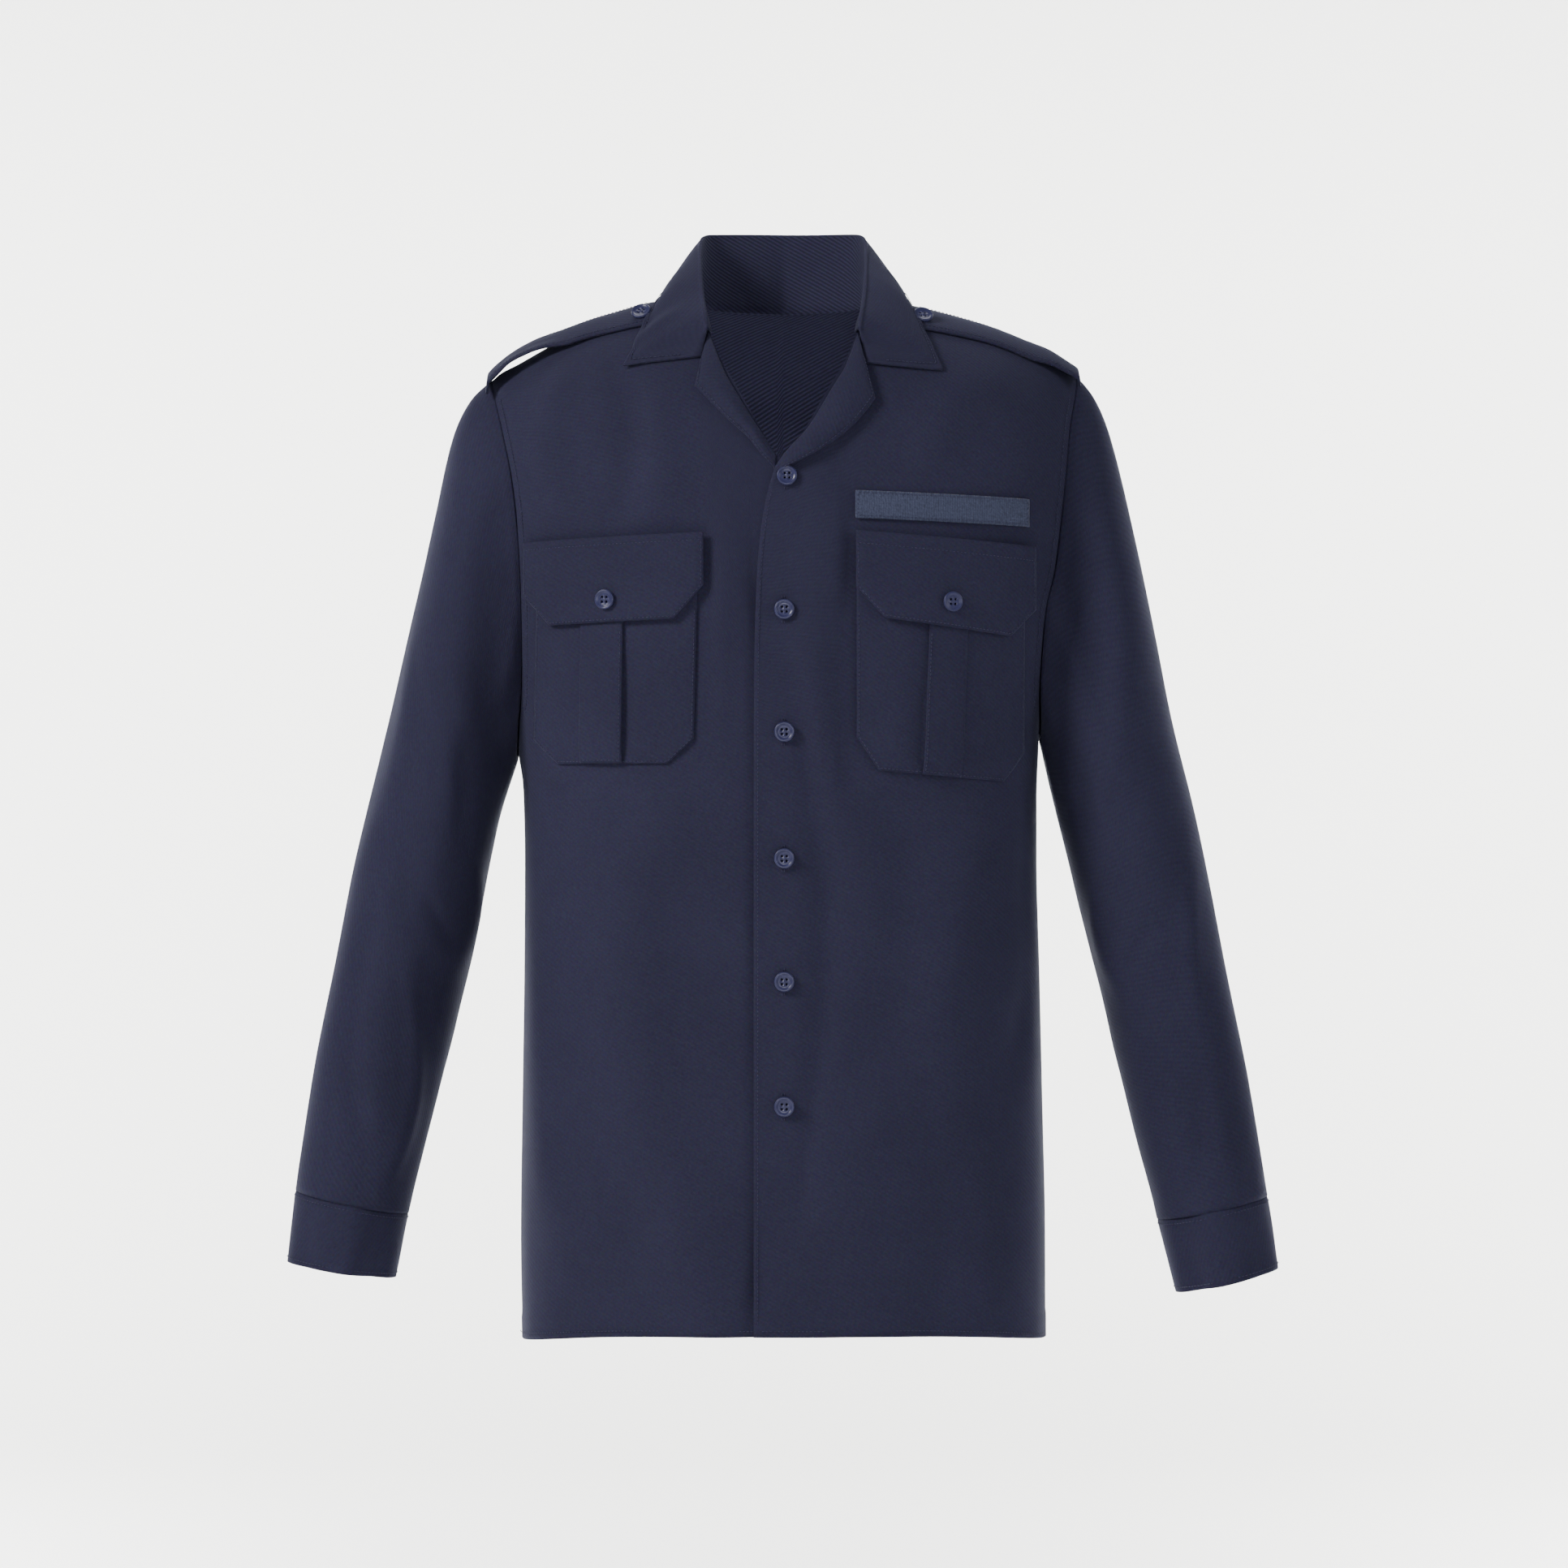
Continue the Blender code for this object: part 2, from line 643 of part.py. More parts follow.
# share of the way from the gorge to the break: roll line and free edge of each lapel
LAPELS = {
    "right": [
        dict(run=0.00, roll_x=0.0550, roll_z=-0.0300, edge_x=0.0604, edge_z=-0.0503),
        dict(run=0.28, roll_x=0.0440, roll_z=-0.0590, edge_x=0.0648, edge_z=-0.0712),
        dict(run=0.40, roll_x=0.0370, roll_z=-0.0720, edge_x=0.0535, edge_z=-0.0826),
        dict(run=0.55, roll_x=0.0275, roll_z=-0.0880, edge_x=0.0404, edge_z=-0.0957),
        dict(run=0.70, roll_x=0.0180, roll_z=-0.1030, edge_x=0.0255, edge_z=-0.1094),
        dict(run=0.85, roll_x=0.0120, roll_z=-0.1120, edge_x=0.0175, edge_z=-0.1195),
        dict(run=1.00, roll_x=0.0068, roll_z=-0.1200, edge_x=0.0072, edge_z=-0.1310),
    ],
    "left": [
        dict(run=0.00, roll_x=0.0548, roll_z=-0.0330, edge_x=0.0590, edge_z=-0.0505),
        dict(run=0.28, roll_x=0.0450, roll_z=-0.0590, edge_x=0.0672, edge_z=-0.0813),
        dict(run=0.40, roll_x=0.0370, roll_z=-0.0720, edge_x=0.0594, edge_z=-0.0914),
        dict(run=0.55, roll_x=0.0275, roll_z=-0.0880, edge_x=0.0480, edge_z=-0.1034),
        dict(run=0.70, roll_x=0.0175, roll_z=-0.1040, edge_x=0.0332, edge_z=-0.1150),
        dict(run=0.85, roll_x=0.0080, roll_z=-0.1160, edge_x=0.0160, edge_z=-0.1245),
        dict(run=1.00, roll_x=-0.0030, roll_z=-0.1285, edge_x=0.0000, edge_z=-0.1360),
    ],
}


def make_lapel(side, material):
    sign = sign_of(side)

    def place(across, run):
        roll, free = [
            np.array([read_table(LAPELS[side], "run", edge + axis, run) for axis in "xz"])
            for edge in ("roll_", "edge_")]
        x, z = roll + (free - roll) * across
        lift = LAPEL_LIFT + LAPEL_SWELL * 4 * across * (1 - across) * math.sin(math.pi * run)
        if side == "left":
            lift += OVERLAP_LIFT + BUTTON_CLEARANCE * smooth_step((run - 0.6) / 0.3)
        return tuple(body_point("front", sign * x, z, lift))

    return sheet("lapel_" + side, even(4), list(LAPEL_ROWS), place, CLOTH,
                 lambda centre: (0.0, -1.0, 0.0), material)


# Pockets, flaps, pleats and the name-tape strip

POCKET_LIFT = LAYER_GAP
STACK_GAP = 0.0005      # between pocket, pleat and flap
FLAP_CLIP_WIDE = 0.019
FLAP_CLIP_HIGH = 0.021
POCKET_CLIP_WIDE = 0.016
POCKET_CLIP_HIGH = 0.021
PLEAT_WIDE = 0.0285
POCKET_WALL = 0.0010
PLEAT_WALL = 0.0010
FLAP_WALL = 0.0016

# distances out from the centre; slope is the fall per metre outwards
CHEST = {
    "right": dict(flap_in=0.0577, flap_out=0.1882, flap_top=-0.1787, flap_slope=0.041,
                  flap_deep=0.0620, pocket_in=0.0627, pocket_out=0.1826,
                  pocket_top=-0.1880, pocket_end=-0.3470, pocket_slope=0.000,
                  pleat_in=0.1178, button_x=0.1298, button_z=-0.2274),
    "left": dict(flap_in=0.0528, flap_out=0.1840, flap_top=-0.1775, flap_slope=0.073,
                 flap_deep=0.0632, pocket_in=0.0534, pocket_out=0.1770,
                 pocket_top=-0.1880, pocket_end=-0.3505, pocket_slope=0.090,
                 pleat_in=0.1040, button_x=0.1236, button_z=-0.2290),
}
NAME_TAPE = dict(inner=0.0528, outer=0.1800, top=-0.1479, slope=0.036, high=0.0200)
TAPE_WALL = 0.0016


def clipped(across, down, wide, high, clip_wide, clip_high):
    """Place in a rectangle whose two lower corners are cut off slantwise."""
    depth = down * high
    cut = max(0.0, depth - (high - clip_high)) / clip_high * clip_wide
    return cut + (wide - 2 * cut) * across, depth


def patch(name, side, inner, outer, top, slope, high, clip, base, wall, columns, rows,
          material, swell=0.0):
    sign = sign_of(side)

    def place(across, down):
        across_at, depth = clipped(across, down, outer - inner, high, *clip)
        x = inner + across_at
        z = top - slope * across_at - depth
        puff = swell * math.sin(math.pi * across) * math.sin(math.pi * down)
        return tuple(body_point("front", sign * x, z, base + puff))

    return sheet(name, columns, rows, place, wall, lambda centre: (0.0, -1.0, 0.0),
                 material, outside=True)


def rows_to_clip(high, clip_high, count):
    """Even rows down to the clipped corners, then two more to the lower edge."""
    turn = 1 - clip_high / high
    return [turn * t for t in even(count)] + [turn + (1 - turn) * t for t in (0.5, 1.0)]


def make_pocket(side, material):
    size = CHEST[side]
    high = size["pocket_top"] - size["pocket_end"]
    return patch("pocket_" + side, side, size["pocket_in"], size["pocket_out"],
                 size["pocket_top"], size["pocket_slope"], high,
                 (POCKET_CLIP_WIDE, POCKET_CLIP_HIGH), POCKET_LIFT, POCKET_WALL, even(9),
                 rows_to_clip(high, POCKET_CLIP_HIGH, 6), material)


def make_pleat(side, material):
    size = CHEST[side]
    top = size["flap_top"] - 0.030
    high = top - size["pocket_end"] - 0.0006
    middle = size["pleat_in"] - size["pocket_in"]
    high += size["pocket_slope"] * middle
    base = POCKET_LIFT + POCKET_WALL + STACK_GAP
    return patch("pleat_" + side, side, size["pleat_in"], size["pleat_in"] + PLEAT_WIDE,
                 top, size["pocket_slope"], high, (0.0, 0.001), base, PLEAT_WALL,
                 even(3), even(7), material)


def make_flap(side, material):
    size = CHEST[side]
    base = POCKET_LIFT + POCKET_WALL + STACK_GAP + PLEAT_WALL + STACK_GAP
    high = size["flap_deep"]
    return patch("flap_" + side, side, size["flap_in"], size["flap_out"],
                 size["flap_top"], size["flap_slope"], high,
                 (FLAP_CLIP_WIDE, FLAP_CLIP_HIGH), base, FLAP_WALL, even(10),
                 rows_to_clip(high, FLAP_CLIP_HIGH, 3), material)


def make_name_tape(material):
    size = NAME_TAPE
    return patch("name_tape", "left", size["inner"], size["outer"], size["top"],
                 size["slope"], size["high"], (0.0, 0.001), LAYER_GAP, TAPE_WALL,
                 even(9), even(2), material)


# Epaulettes

STRAP_START = 0.0880    # under the collar leaf
STRAP_END = 0.2235
STRAP_BACK = 0.0040
STRAP_FRONT = -0.0450
STRAP_POINT = 0.012     # length of the pointed end under the collar
STRAP_WALL = 0.0020
STRAP_TURN = {"right": 0.0065, "left": 0.0030}  # end turned down into the armhole seam
STRAP_BUTTON_X = {"right": 0.1075, "left": 0.1050}
STRAP_BUTTON_Y = -0.0300

# distance out from the centre, clear height of each strap's underside over the shoulder
STRAP_RISE = [
    dict(x=0.088, right=0.0006, left=0.0006),
    dict(x=0.120, right=0.0006, left=0.0008),
    dict(x=0.155, right=0.0018, left=0.0008),
    dict(x=0.177, right=0.0055, left=0.0010),
    dict(x=0.197, right=0.0090, left=0.0024),
    dict(x=0.213, right=0.0088, left=0.0032),
    dict(x=0.2235, right=0.0072, left=0.0040),
]


ARM_LIMIT = 0.185       # past this the strap keeps the shoulder's roundness


def shoulder_top(side, x, y):
    """Height of the cloth on top of the shoulder, at a place seen from above."""
    face, roll = ("front", FRONT_ROLL) if y <= 0 else ("back", BACK_ROLL)
    ridge = shoulder_height(side, x)
    z = ridge
    for _ in range(8):
        half = read_table(BODY_SECTIONS, "z", side, z)
        power = read_table(BODY_SECTIONS, "z", "power", z)
        deep = read_table(BODY_SECTIONS, "z", face, z)
        full = deep * (1 - (min(x, ARM_LIMIT) / half) ** power) ** (1 / power)
        share = min(0.98, abs(y) / max(full, 1e-4))
        z = ridge - roll * (1 - math.sqrt(1 - share ** 2))
    return z


def make_epaulette(side, material):
    sign = sign_of(side)
    stations = [STRAP_START + (STRAP_END - STRAP_START) * t for t in even(11)]
    rows = stations + [STRAP_END + 0.001]

    def place(across, x):
        turned = x > STRAP_END
        at = min(x, STRAP_END)
        point = STRAP_POINT * abs(2 * across - 1) if at == STRAP_START else 0.0
        at += point
        y = STRAP_BACK + (STRAP_FRONT - STRAP_BACK) * across
        z = shoulder_top(side, at, y) + read_table(STRAP_RISE, "x", side, at)
        if turned:
            return (sign * (at + 0.0010), y, z - STRAP_TURN[side])
        return (sign * at, y, z)

    return sheet("epaulette_" + side, even(4), rows, place, STRAP_WALL,
                 lambda centre: (0.0, 0.0, 1.0), material, outside=True)


# Buttons

# radius as a share of the button's, height as a share of its thickness
BUTTON_PROFILE = [
    (0.0, 0.62), (0.56, 0.62), (0.70, 0.95), (0.88, 1.0), (1.0, 0.70), (0.96, 0.18),
    (0.78, 0.0), (0.0, 0.0),
]


def make_button(name, point, normal, material, scale=1.0):
    bm = bmesh.new()
    verts = [bm.verts.new((radius * BUTTON_RADIUS * scale, 0.0, height * BUTTON_THICK))
             for radius, height in BUTTON_PROFILE]
    edges = [bm.edges.new(pair) for pair in zip(verts, verts[1:])]
    bmesh.ops.spin(bm, geom=verts + edges, cent=(0, 0, 0), axis=(0, 0, 1),
                   angle=2 * math.pi, steps=BUTTON_SIDES, use_merge=True)
    bmesh.ops.remove_doubles(bm, verts=bm.verts, dist=0.00001)
    bmesh.ops.recalc_face_normals(bm, faces=bm.faces)
    mesh = bpy.data.meshes.new(name)
    bm.to_mesh(mesh)
    bm.free()
    mesh.shade_smooth()
    mesh.set_sharp_from_angle(angle=math.radians(40))
    piece = link(name, mesh, material)
    piece.location = point
    piece.rotation_mode = "QUATERNION"
    piece.rotation_quaternion = Vector(normal).to_track_quat("Z", "Y")
    return piece


def front_button(name, x, z, lift, material):
    base = body_point("front", x, z, lift + SEAM_GAP)
    normal = body_point("front", x, z, lift + 0.01) - base
    return make_button(name, base, normal, material)


def make_buttons(material):
    for number, z in enumerate(FRONT_BUTTONS, start=1):
        x = TOP_BUTTON_X if number == 1 else BUTTON_LINE
        front_button("button_front_%d" % number, x, z, OVERLAP_LIFT, material)
    flap_face = POCKET_LIFT + POCKET_WALL + 2 * STACK_GAP + PLEAT_WALL + FLAP_WALL
    for side in ("right", "left"):
        size = CHEST[side]
        sign = sign_of(side)
        front_button("button_flap_" + side, sign * size["button_x"], size["button_z"],
                     flap_face, material)
        x = STRAP_BUTTON_X[side]
        reach = 0.002
        z = shoulder_top(side, x, STRAP_BUTTON_Y)
        along = shoulder_top(side, x + reach, STRAP_BUTTON_Y) - z
        across = shoulder_top(side, x, STRAP_BUTTON_Y + reach) - z
        normal = Vector((-sign * along, -across, reach)).normalized()
        rise = read_table(STRAP_RISE, "x", side, x) + STRAP_WALL + 2 * SEAM_GAP
        point = Vector((sign * x, STRAP_BUTTON_Y, z)) + normal * rise
        make_button("button_epaulette_" + side, point, normal, material, scale=0.85)


def main():
    for piece in list(bpy.data.objects):
        bpy.data.objects.remove(piece, do_unlink=True)
    twill = navy_twill()
    make_back(twill)
    for side in ("right", "left"):
        make_front(side, twill)
        make_sleeve(side, twill)
        make_cuff(side, twill)
        make_lapel(side, twill)
        make_pocket(side, twill)
        make_pleat(side, twill)
        make_flap(side, twill)
        make_epaulette(side, twill)
    make_collar(twill)
    make_name_tape(slate_loop())
    make_buttons(button_plastic())


main()
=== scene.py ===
import math
from collections import namedtuple
from functools import lru_cache, partial
from itertools import product

import bmesh
import bpy
import numpy as np
from bpy.props import FloatProperty, FloatVectorProperty, PointerProperty
from mathutils import Matrix, Vector, noise


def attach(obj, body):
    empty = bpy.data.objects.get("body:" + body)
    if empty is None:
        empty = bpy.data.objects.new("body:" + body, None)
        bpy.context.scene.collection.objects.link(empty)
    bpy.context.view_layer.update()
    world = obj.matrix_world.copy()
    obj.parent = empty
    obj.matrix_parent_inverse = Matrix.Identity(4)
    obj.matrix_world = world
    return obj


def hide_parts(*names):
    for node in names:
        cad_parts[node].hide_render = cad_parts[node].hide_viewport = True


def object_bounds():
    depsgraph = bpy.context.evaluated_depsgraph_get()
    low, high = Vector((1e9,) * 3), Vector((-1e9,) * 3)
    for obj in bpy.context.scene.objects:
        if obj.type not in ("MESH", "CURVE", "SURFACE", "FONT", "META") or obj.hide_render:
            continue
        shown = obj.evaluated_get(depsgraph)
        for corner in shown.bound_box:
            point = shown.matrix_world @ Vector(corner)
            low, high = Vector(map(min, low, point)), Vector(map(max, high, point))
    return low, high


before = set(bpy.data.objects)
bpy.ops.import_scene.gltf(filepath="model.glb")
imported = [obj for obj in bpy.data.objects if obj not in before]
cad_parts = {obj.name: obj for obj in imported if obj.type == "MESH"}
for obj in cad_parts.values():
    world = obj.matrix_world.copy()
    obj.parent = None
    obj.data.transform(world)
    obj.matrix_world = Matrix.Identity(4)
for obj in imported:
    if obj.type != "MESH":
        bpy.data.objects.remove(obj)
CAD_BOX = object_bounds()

bl_info = {
    "name": "Uniform shirt",
    "version": (1, 0, 0),
    "blender": (4, 5, 0),
    "location": "3D View > Sidebar > Uniform shirt",
    "description": "Dresses a long-sleeved uniform shirt in twill, thread and buttons",
    "category": "Object",
}

# The photograph's view: a level camera, far in front, at the middle of the picture
CAMERA_DISTANCE = 4.0
CAMERA_X = 0.0006
CAMERA_Z = -0.362
PHOTO_WIDTH = 1932      # pixels
PIXEL = 0.00061         # metres to a pixel of the photograph at the middle of the shirt
SENSOR = 36.0

SIDES = ("right", "left")       # the wearer's

# The shirt's own sizes, in metres, as its cutter would give them. Heights are from the neck
# seam at the shoulders, downward negative; x is from the middle, the wearer's left positive.
HEM_SIDE = -0.776
HEM_FRONT_RISE = 0.0108         # how much higher the hem is at the middle of the front
HEM_RISE_HALF = 0.196           # and how far from it the hem is back at its full length
ARMPIT = {"right": -0.341, "left": -0.325}
FRONT_ROLL = 0.095              # height over which the chest rounds off to the shoulder
BACK_ROLL = 0.085
NECK_HALF = 0.064               # half width and height of the neck point
NECK_TOP = 0.001
BACK_NECK = 0.0005
BREAK_POINT = -0.127            # where the neck opening ends and the fronts overlap
GORGE_HALF = 0.0545             # where the collar ends on the lapel
GORGE_TOP = -0.029
NECK_TUCK = 0.0065              # the neck edge lies this far under the lapels
TUCK_FADE = 0.15                # share of its length over which that starts and ends
TOP_EDGE = -0.0215              # the upper front's edge, and at the break point
TOP_EDGE_AT_BREAK = -0.0044
TOP_EDGE_CURL = 0.042           # over which it swings back to straight
UNDER_EDGE = 0.016              # the under front's edge
OVERLAP_LIFT = 0.0022           # how far the upper front lies over the under one
SETTLE_FROM = 0.004             # from how far past that edge it settles back, and over what
SETTLE_OVER = 0.030
OVERLAP_FALL = 0.7
BUTTON_THICK = 0.0032
BUTTON_LINE = 0.0008
TOP_BUTTON_X = 0.0028
FRONT_BUTTONS = (-0.1375, -0.235, -0.324, -0.416, -0.506, -0.597)


def named_rows(columns, rows):
    """A table whose rows are read by the names of its columns."""
    return [dict(zip(columns.split(), row)) for row in rows]


BODY_SECTIONS = named_rows("z right left front back power", [
    (-0.780, 0.1962, 0.1978, 0.124, 0.118, 2.35),
    (-0.700, 0.1976, 0.1976, 0.123, 0.116, 2.35),
    (-0.600, 0.1964, 0.1955, 0.122, 0.113, 2.35),
    (-0.500, 0.1950, 0.1932, 0.122, 0.111, 2.35),
    (-0.420, 0.1946, 0.1912, 0.124, 0.113, 2.35),
    (-0.360, 0.1960, 0.1912, 0.127, 0.118, 2.35),
    (-0.341, 0.1989, 0.1920, 0.128, 0.120, 2.35),
    (-0.325, 0.2002, 0.1928, 0.128, 0.121, 2.35),
    (-0.290, 0.2030, 0.1985, 0.127, 0.123, 2.35),
    (-0.220, 0.2090, 0.2090, 0.124, 0.126, 2.40),
    (-0.150, 0.2160, 0.2210, 0.117, 0.125, 2.45),
    (-0.080, 0.2280, 0.2290, 0.106, 0.118, 2.50),
    (0.010, 0.2400, 0.2400, 0.090, 0.105, 2.50),
])

SHOULDER_LINE = named_rows("x right left", [
    (0.000, 0.0100, 0.0100),
    (0.064, 0.0012, 0.0006),
    (0.093, -0.0020, -0.0048),
    (0.130, -0.0120, -0.0140),
    (0.157, -0.0235, -0.0220),
    (0.180, -0.0360, -0.0315),
    (0.199, -0.0468, -0.0405),
    (0.213, -0.0540, -0.0500),
    (0.222, -0.0610, -0.0566),
    (0.240, -0.0740, -0.0720),
])

ARMHOLE = named_rows("z right left", [
    (-0.345, 0.1989, 0.1915),
    (-0.320, 0.1968, 0.1918),
    (-0.295, 0.1946, 0.1908),
    (-0.262, 0.1938, 0.1925),
    (-0.232, 0.1941, 0.1955),
    (-0.204, 0.1950, 0.2022),
    (-0.172, 0.1971, 0.2062),
    (-0.136, 0.2014, 0.2099),
    (-0.100, 0.2090, 0.2133),
    (-0.063, 0.2178, 0.2200),
    (-0.040, 0.2210, 0.2225),
])

SLEEVE_OUTER = {
    "right": named_rows("down x z", [
        (0.000, 0.2190, -0.0640),
        (0.040, 0.2349, -0.0796),
        (0.085, 0.2471, -0.1040),
        (0.172, 0.2611, -0.1631),
        (0.344, 0.2855, -0.2668),
        (0.460, 0.3020, -0.3370),
        (0.590, 0.3203, -0.4132),
        (0.720, 0.3355, -0.4925),
        (0.865, 0.3520, -0.5810),
        (1.000, 0.3636, -0.6640),
    ]),
    "left": named_rows("down x z", [
        (0.000, 0.2208, -0.0640),
        (0.040, 0.2342, -0.0814),
        (0.085, 0.2446, -0.1040),
        (0.190, 0.2647, -0.1808),
        (0.310, 0.2806, -0.2546),
        (0.400, 0.2916, -0.3095),
        (0.520, 0.3068, -0.3766),
        (0.650, 0.3233, -0.4559),
        (0.850, 0.3465, -0.5779),
        (1.000, 0.3611, -0.6682),
    ]),
}

SLEEVE_INNER = {
    "right": named_rows("down x z", [
        (0.00, 0.1993, -0.3400),
        (0.15, 0.2147, -0.3919),
        (0.37, 0.2288, -0.4681),
        (0.60, 0.2471, -0.5474),
        (0.82, 0.2654, -0.6206),
        (1.00, 0.2794, -0.6816),
    ]),
    "left": named_rows("down x z", [
        (0.00, 0.1934, -0.3245),
        (0.16, 0.2074, -0.3888),
        (0.35, 0.2227, -0.4559),
        (0.56, 0.2410, -0.5291),
        (0.79, 0.2593, -0.6084),
        (1.00, 0.2788, -0.6859),
    ]),
}

SLEEVE_DEPTH = named_rows("down deep forward", [
    (0.00, 0.080, 0.000),
    (0.15, 0.080, -0.002),
    (0.35, 0.074, -0.004),
    (0.60, 0.063, 0.004),
    (0.80, 0.054, 0.016),
    (1.00, 0.047, 0.030),
])

CUFF_END = {"right": dict(outer=(0.3695, -0.7170), inner=(0.2885, -0.7290)),
            "left": dict(outer=(0.3690, -0.7220), inner=(0.2925, -0.7400))}
CUFF_DEEP = 0.041       # half depth of the cuff's lower edge, and how far forward it hangs
CUFF_FORWARD = 0.034
SLEEVE_HEAD = 0.30      # share of the sleeve over which its top turns into the armhole
ARMHOLE_GAP = 0.0001


# Curves through the tables above


@lru_cache(maxsize=None)
def curve_through(keys, values):
    """Samples of a smooth curve through the given points that never overshoots them."""
    steps = np.diff(keys)
    slopes = np.diff(values) / steps
    tangents = [slopes[0]]
    for before, after in zip(slopes, slopes[1:]):
        same_way = before * after > 0
        tangents.append(2 * before * after / (before + after) if same_way else 0.0)
    tangents.append(slopes[-1])
    places = np.linspace(keys[0], keys[-1], 601)
    index = np.clip(np.searchsorted(keys, places, side="right") - 1, 0, len(steps) - 1)
    low = np.array(values)[index]
    high = np.array(values)[index + 1]
    step = steps[index]
    t = (places - np.array(keys)[index]) / step
    lean_low = np.array(tangents)[index]
    lean_high = np.array(tangents)[index + 1]
    curve = low * (1 + 2 * t) * (1 - t) ** 2 + high * t * t * (3 - 2 * t)
    curve += step * (lean_low * t * (1 - t) ** 2 - lean_high * t * t * (1 - t))
    return places[0], places[-1], curve


TABLE_COLUMNS = {}


def read_table(table, key, column, at):
    """Value of a column where the key column reads `at`."""
    name = (id(table), key, column)
    if name not in TABLE_COLUMNS:
        keys = tuple(row[key] for row in table)
        values = tuple(row[column] for row in table)
        TABLE_COLUMNS[name] = curve_through(keys, values)
    low, high, curve = TABLE_COLUMNS[name]
    place = limited((at - low) / (high - low)) * (len(curve) - 1)
    left = min(int(place), len(curve) - 2)
    rest = place - left
    return float(curve[left] * (1 - rest) + curve[left + 1] * rest)


def limited(share):
    return min(1.0, max(0.0, share))


def smooth_step(t):
    t = limited(t)
    return t * t * (3 - 2 * t)


def between(value, start, end):
    """0 up to the start, 1 from the end on, and soft between them."""
    return smooth_step((value - start) / (end - start))


def hump(value, middle, wide):
    """1 at the middle, and soft to nothing on both sides."""
    return math.exp(-((value - middle) / wide) ** 2)


def sign_of(side):
    return 1.0 if side == "left" else -1.0


def side_of(x):
    return "left" if x >= 0 else "right"


def mirrored(side, point):
    """A point that is worked out for the wearer's left, on the side asked for."""
    return np.array([sign_of(side) * point[0], point[1], point[2]])


def unit(vector):
    return vector / np.linalg.norm(vector)


def settings():
    """What the sidebar's settings say."""
    return bpy.context.scene.uniform_shirt


# The garment's surface: body, armhole and sleeve


def shoulder_height(side, x):
    return read_table(SHOULDER_LINE, "x", side, abs(x))


def body_depth(side, face, x, z):
    half, power, deep = [read_table(BODY_SECTIONS, "z", name, z)
                         for name in (side, "power", face)]
    flat = (1 - min(1.0, abs(x) / half) ** power) ** (1 / power)
    roll = FRONT_ROLL if face == "front" else BACK_ROLL
    up = limited((shoulder_height(side, x) - z) / roll)
    return deep * flat * math.sqrt(1 - (1 - up) ** 2)


SLOPE_STEP = 0.0015     # over which the body's slope is measured


def body_point(face, x, z, out=0.0):
    """Point of the outer cloth, moved out along its normal by `out`."""
    side = side_of(x)
    towards = -1.0 if face == "front" else 1.0
    point = np.array([x, towards * body_depth(side, face, x, z), z])
    if out == 0.0:
        return point
    step = SLOPE_STEP
    run_x = towards * (body_depth(side, face, x + step, z)
                       - body_depth(side, face, x - step, z)) / (2 * step)
    run_z = towards * (body_depth(side, face, x, z + step)
                       - body_depth(side, face, x, z - step)) / (2 * step)
    return point + out * unit(np.array([-run_x, 1.0, -run_z]) * towards)


def neckline_height(face, side, reach):
    if reach >= NECK_HALF:
        return shoulder_height(side, reach)
    if face == "back":
        return BACK_NECK + (NECK_TOP - BACK_NECK) * (reach / NECK_HALF) ** 6
    if reach <= 0:
        return BREAK_POINT + OVERLAP_FALL * reach
    if reach <= GORGE_HALF:
        share = reach / GORGE_HALF
        tuck = (NECK_TUCK * smooth_step(share / TUCK_FADE)
                * smooth_step((1 - share) / TUCK_FADE))
        return BREAK_POINT + (GORGE_TOP - BREAK_POINT) * share ** 0.95 - tuck
    rest = (reach - GORGE_HALF) / (NECK_HALF - GORGE_HALF)
    return GORGE_TOP + (shoulder_height(side, reach) - GORGE_TOP) * rest ** 0.8


def side_edge(side, z):
    if z <= ARMPIT[side]:
        return read_table(BODY_SECTIONS, "z", side, z)
    return read_table(ARMHOLE, "z", side, z)


def front_edge(side, z):
    if side == "right":
        return UNDER_EDGE
    below = max(0.0, BREAK_POINT - z)
    return TOP_EDGE + (TOP_EDGE_AT_BREAK - TOP_EDGE) * math.exp(-below / TOP_EDGE_CURL)


def hem_height(face, x):
    if face == "back":
        return HEM_SIDE
    return HEM_SIDE + HEM_FRONT_RISE * max(0.0, 1 - (abs(x) / HEM_RISE_HALF) ** 4)


def overlap_lift(x):
    return OVERLAP_LIFT * (1 - smooth_step((x - UNDER_EDGE - SETTLE_FROM) / SETTLE_OVER))


@lru_cache(maxsize=None)
def armhole_top(side):
    low, high = 0.20, 0.24
    for _ in range(30):
        middle = (low + high) / 2
        if side_edge(side, shoulder_height(side, middle)) > middle:
            low = middle
        else:
            high = middle
    return shoulder_height(side, low)


def armhole_point(side, turn):
    """Point of the armhole seam; turn 0 is the top, 0.5 the armpit, front first."""
    face = "front" if turn <= 0.5 else "back"
    down = 0.5 - 0.5 * math.cos(2 * math.pi * turn)
    top = armhole_top(side)
    z = top + (ARMPIT[side] - top) * down
    x = side_edge(side, z)
    y = body_depth(side, face, x, z)
    return np.array([x, -y if face == "front" else y, z])


def ring_point(outer, inner, deep, forward, turn):
    """Point of a flattened ring between its outer and inner end, each an (x, z)."""
    angle = 2 * math.pi * turn
    out = 0.5 + 0.5 * math.cos(angle)
    x, z = [near + (far - near) * out for near, far in zip(inner, outer)]
    return np.array([x, -deep * math.sin(angle) - forward, z])


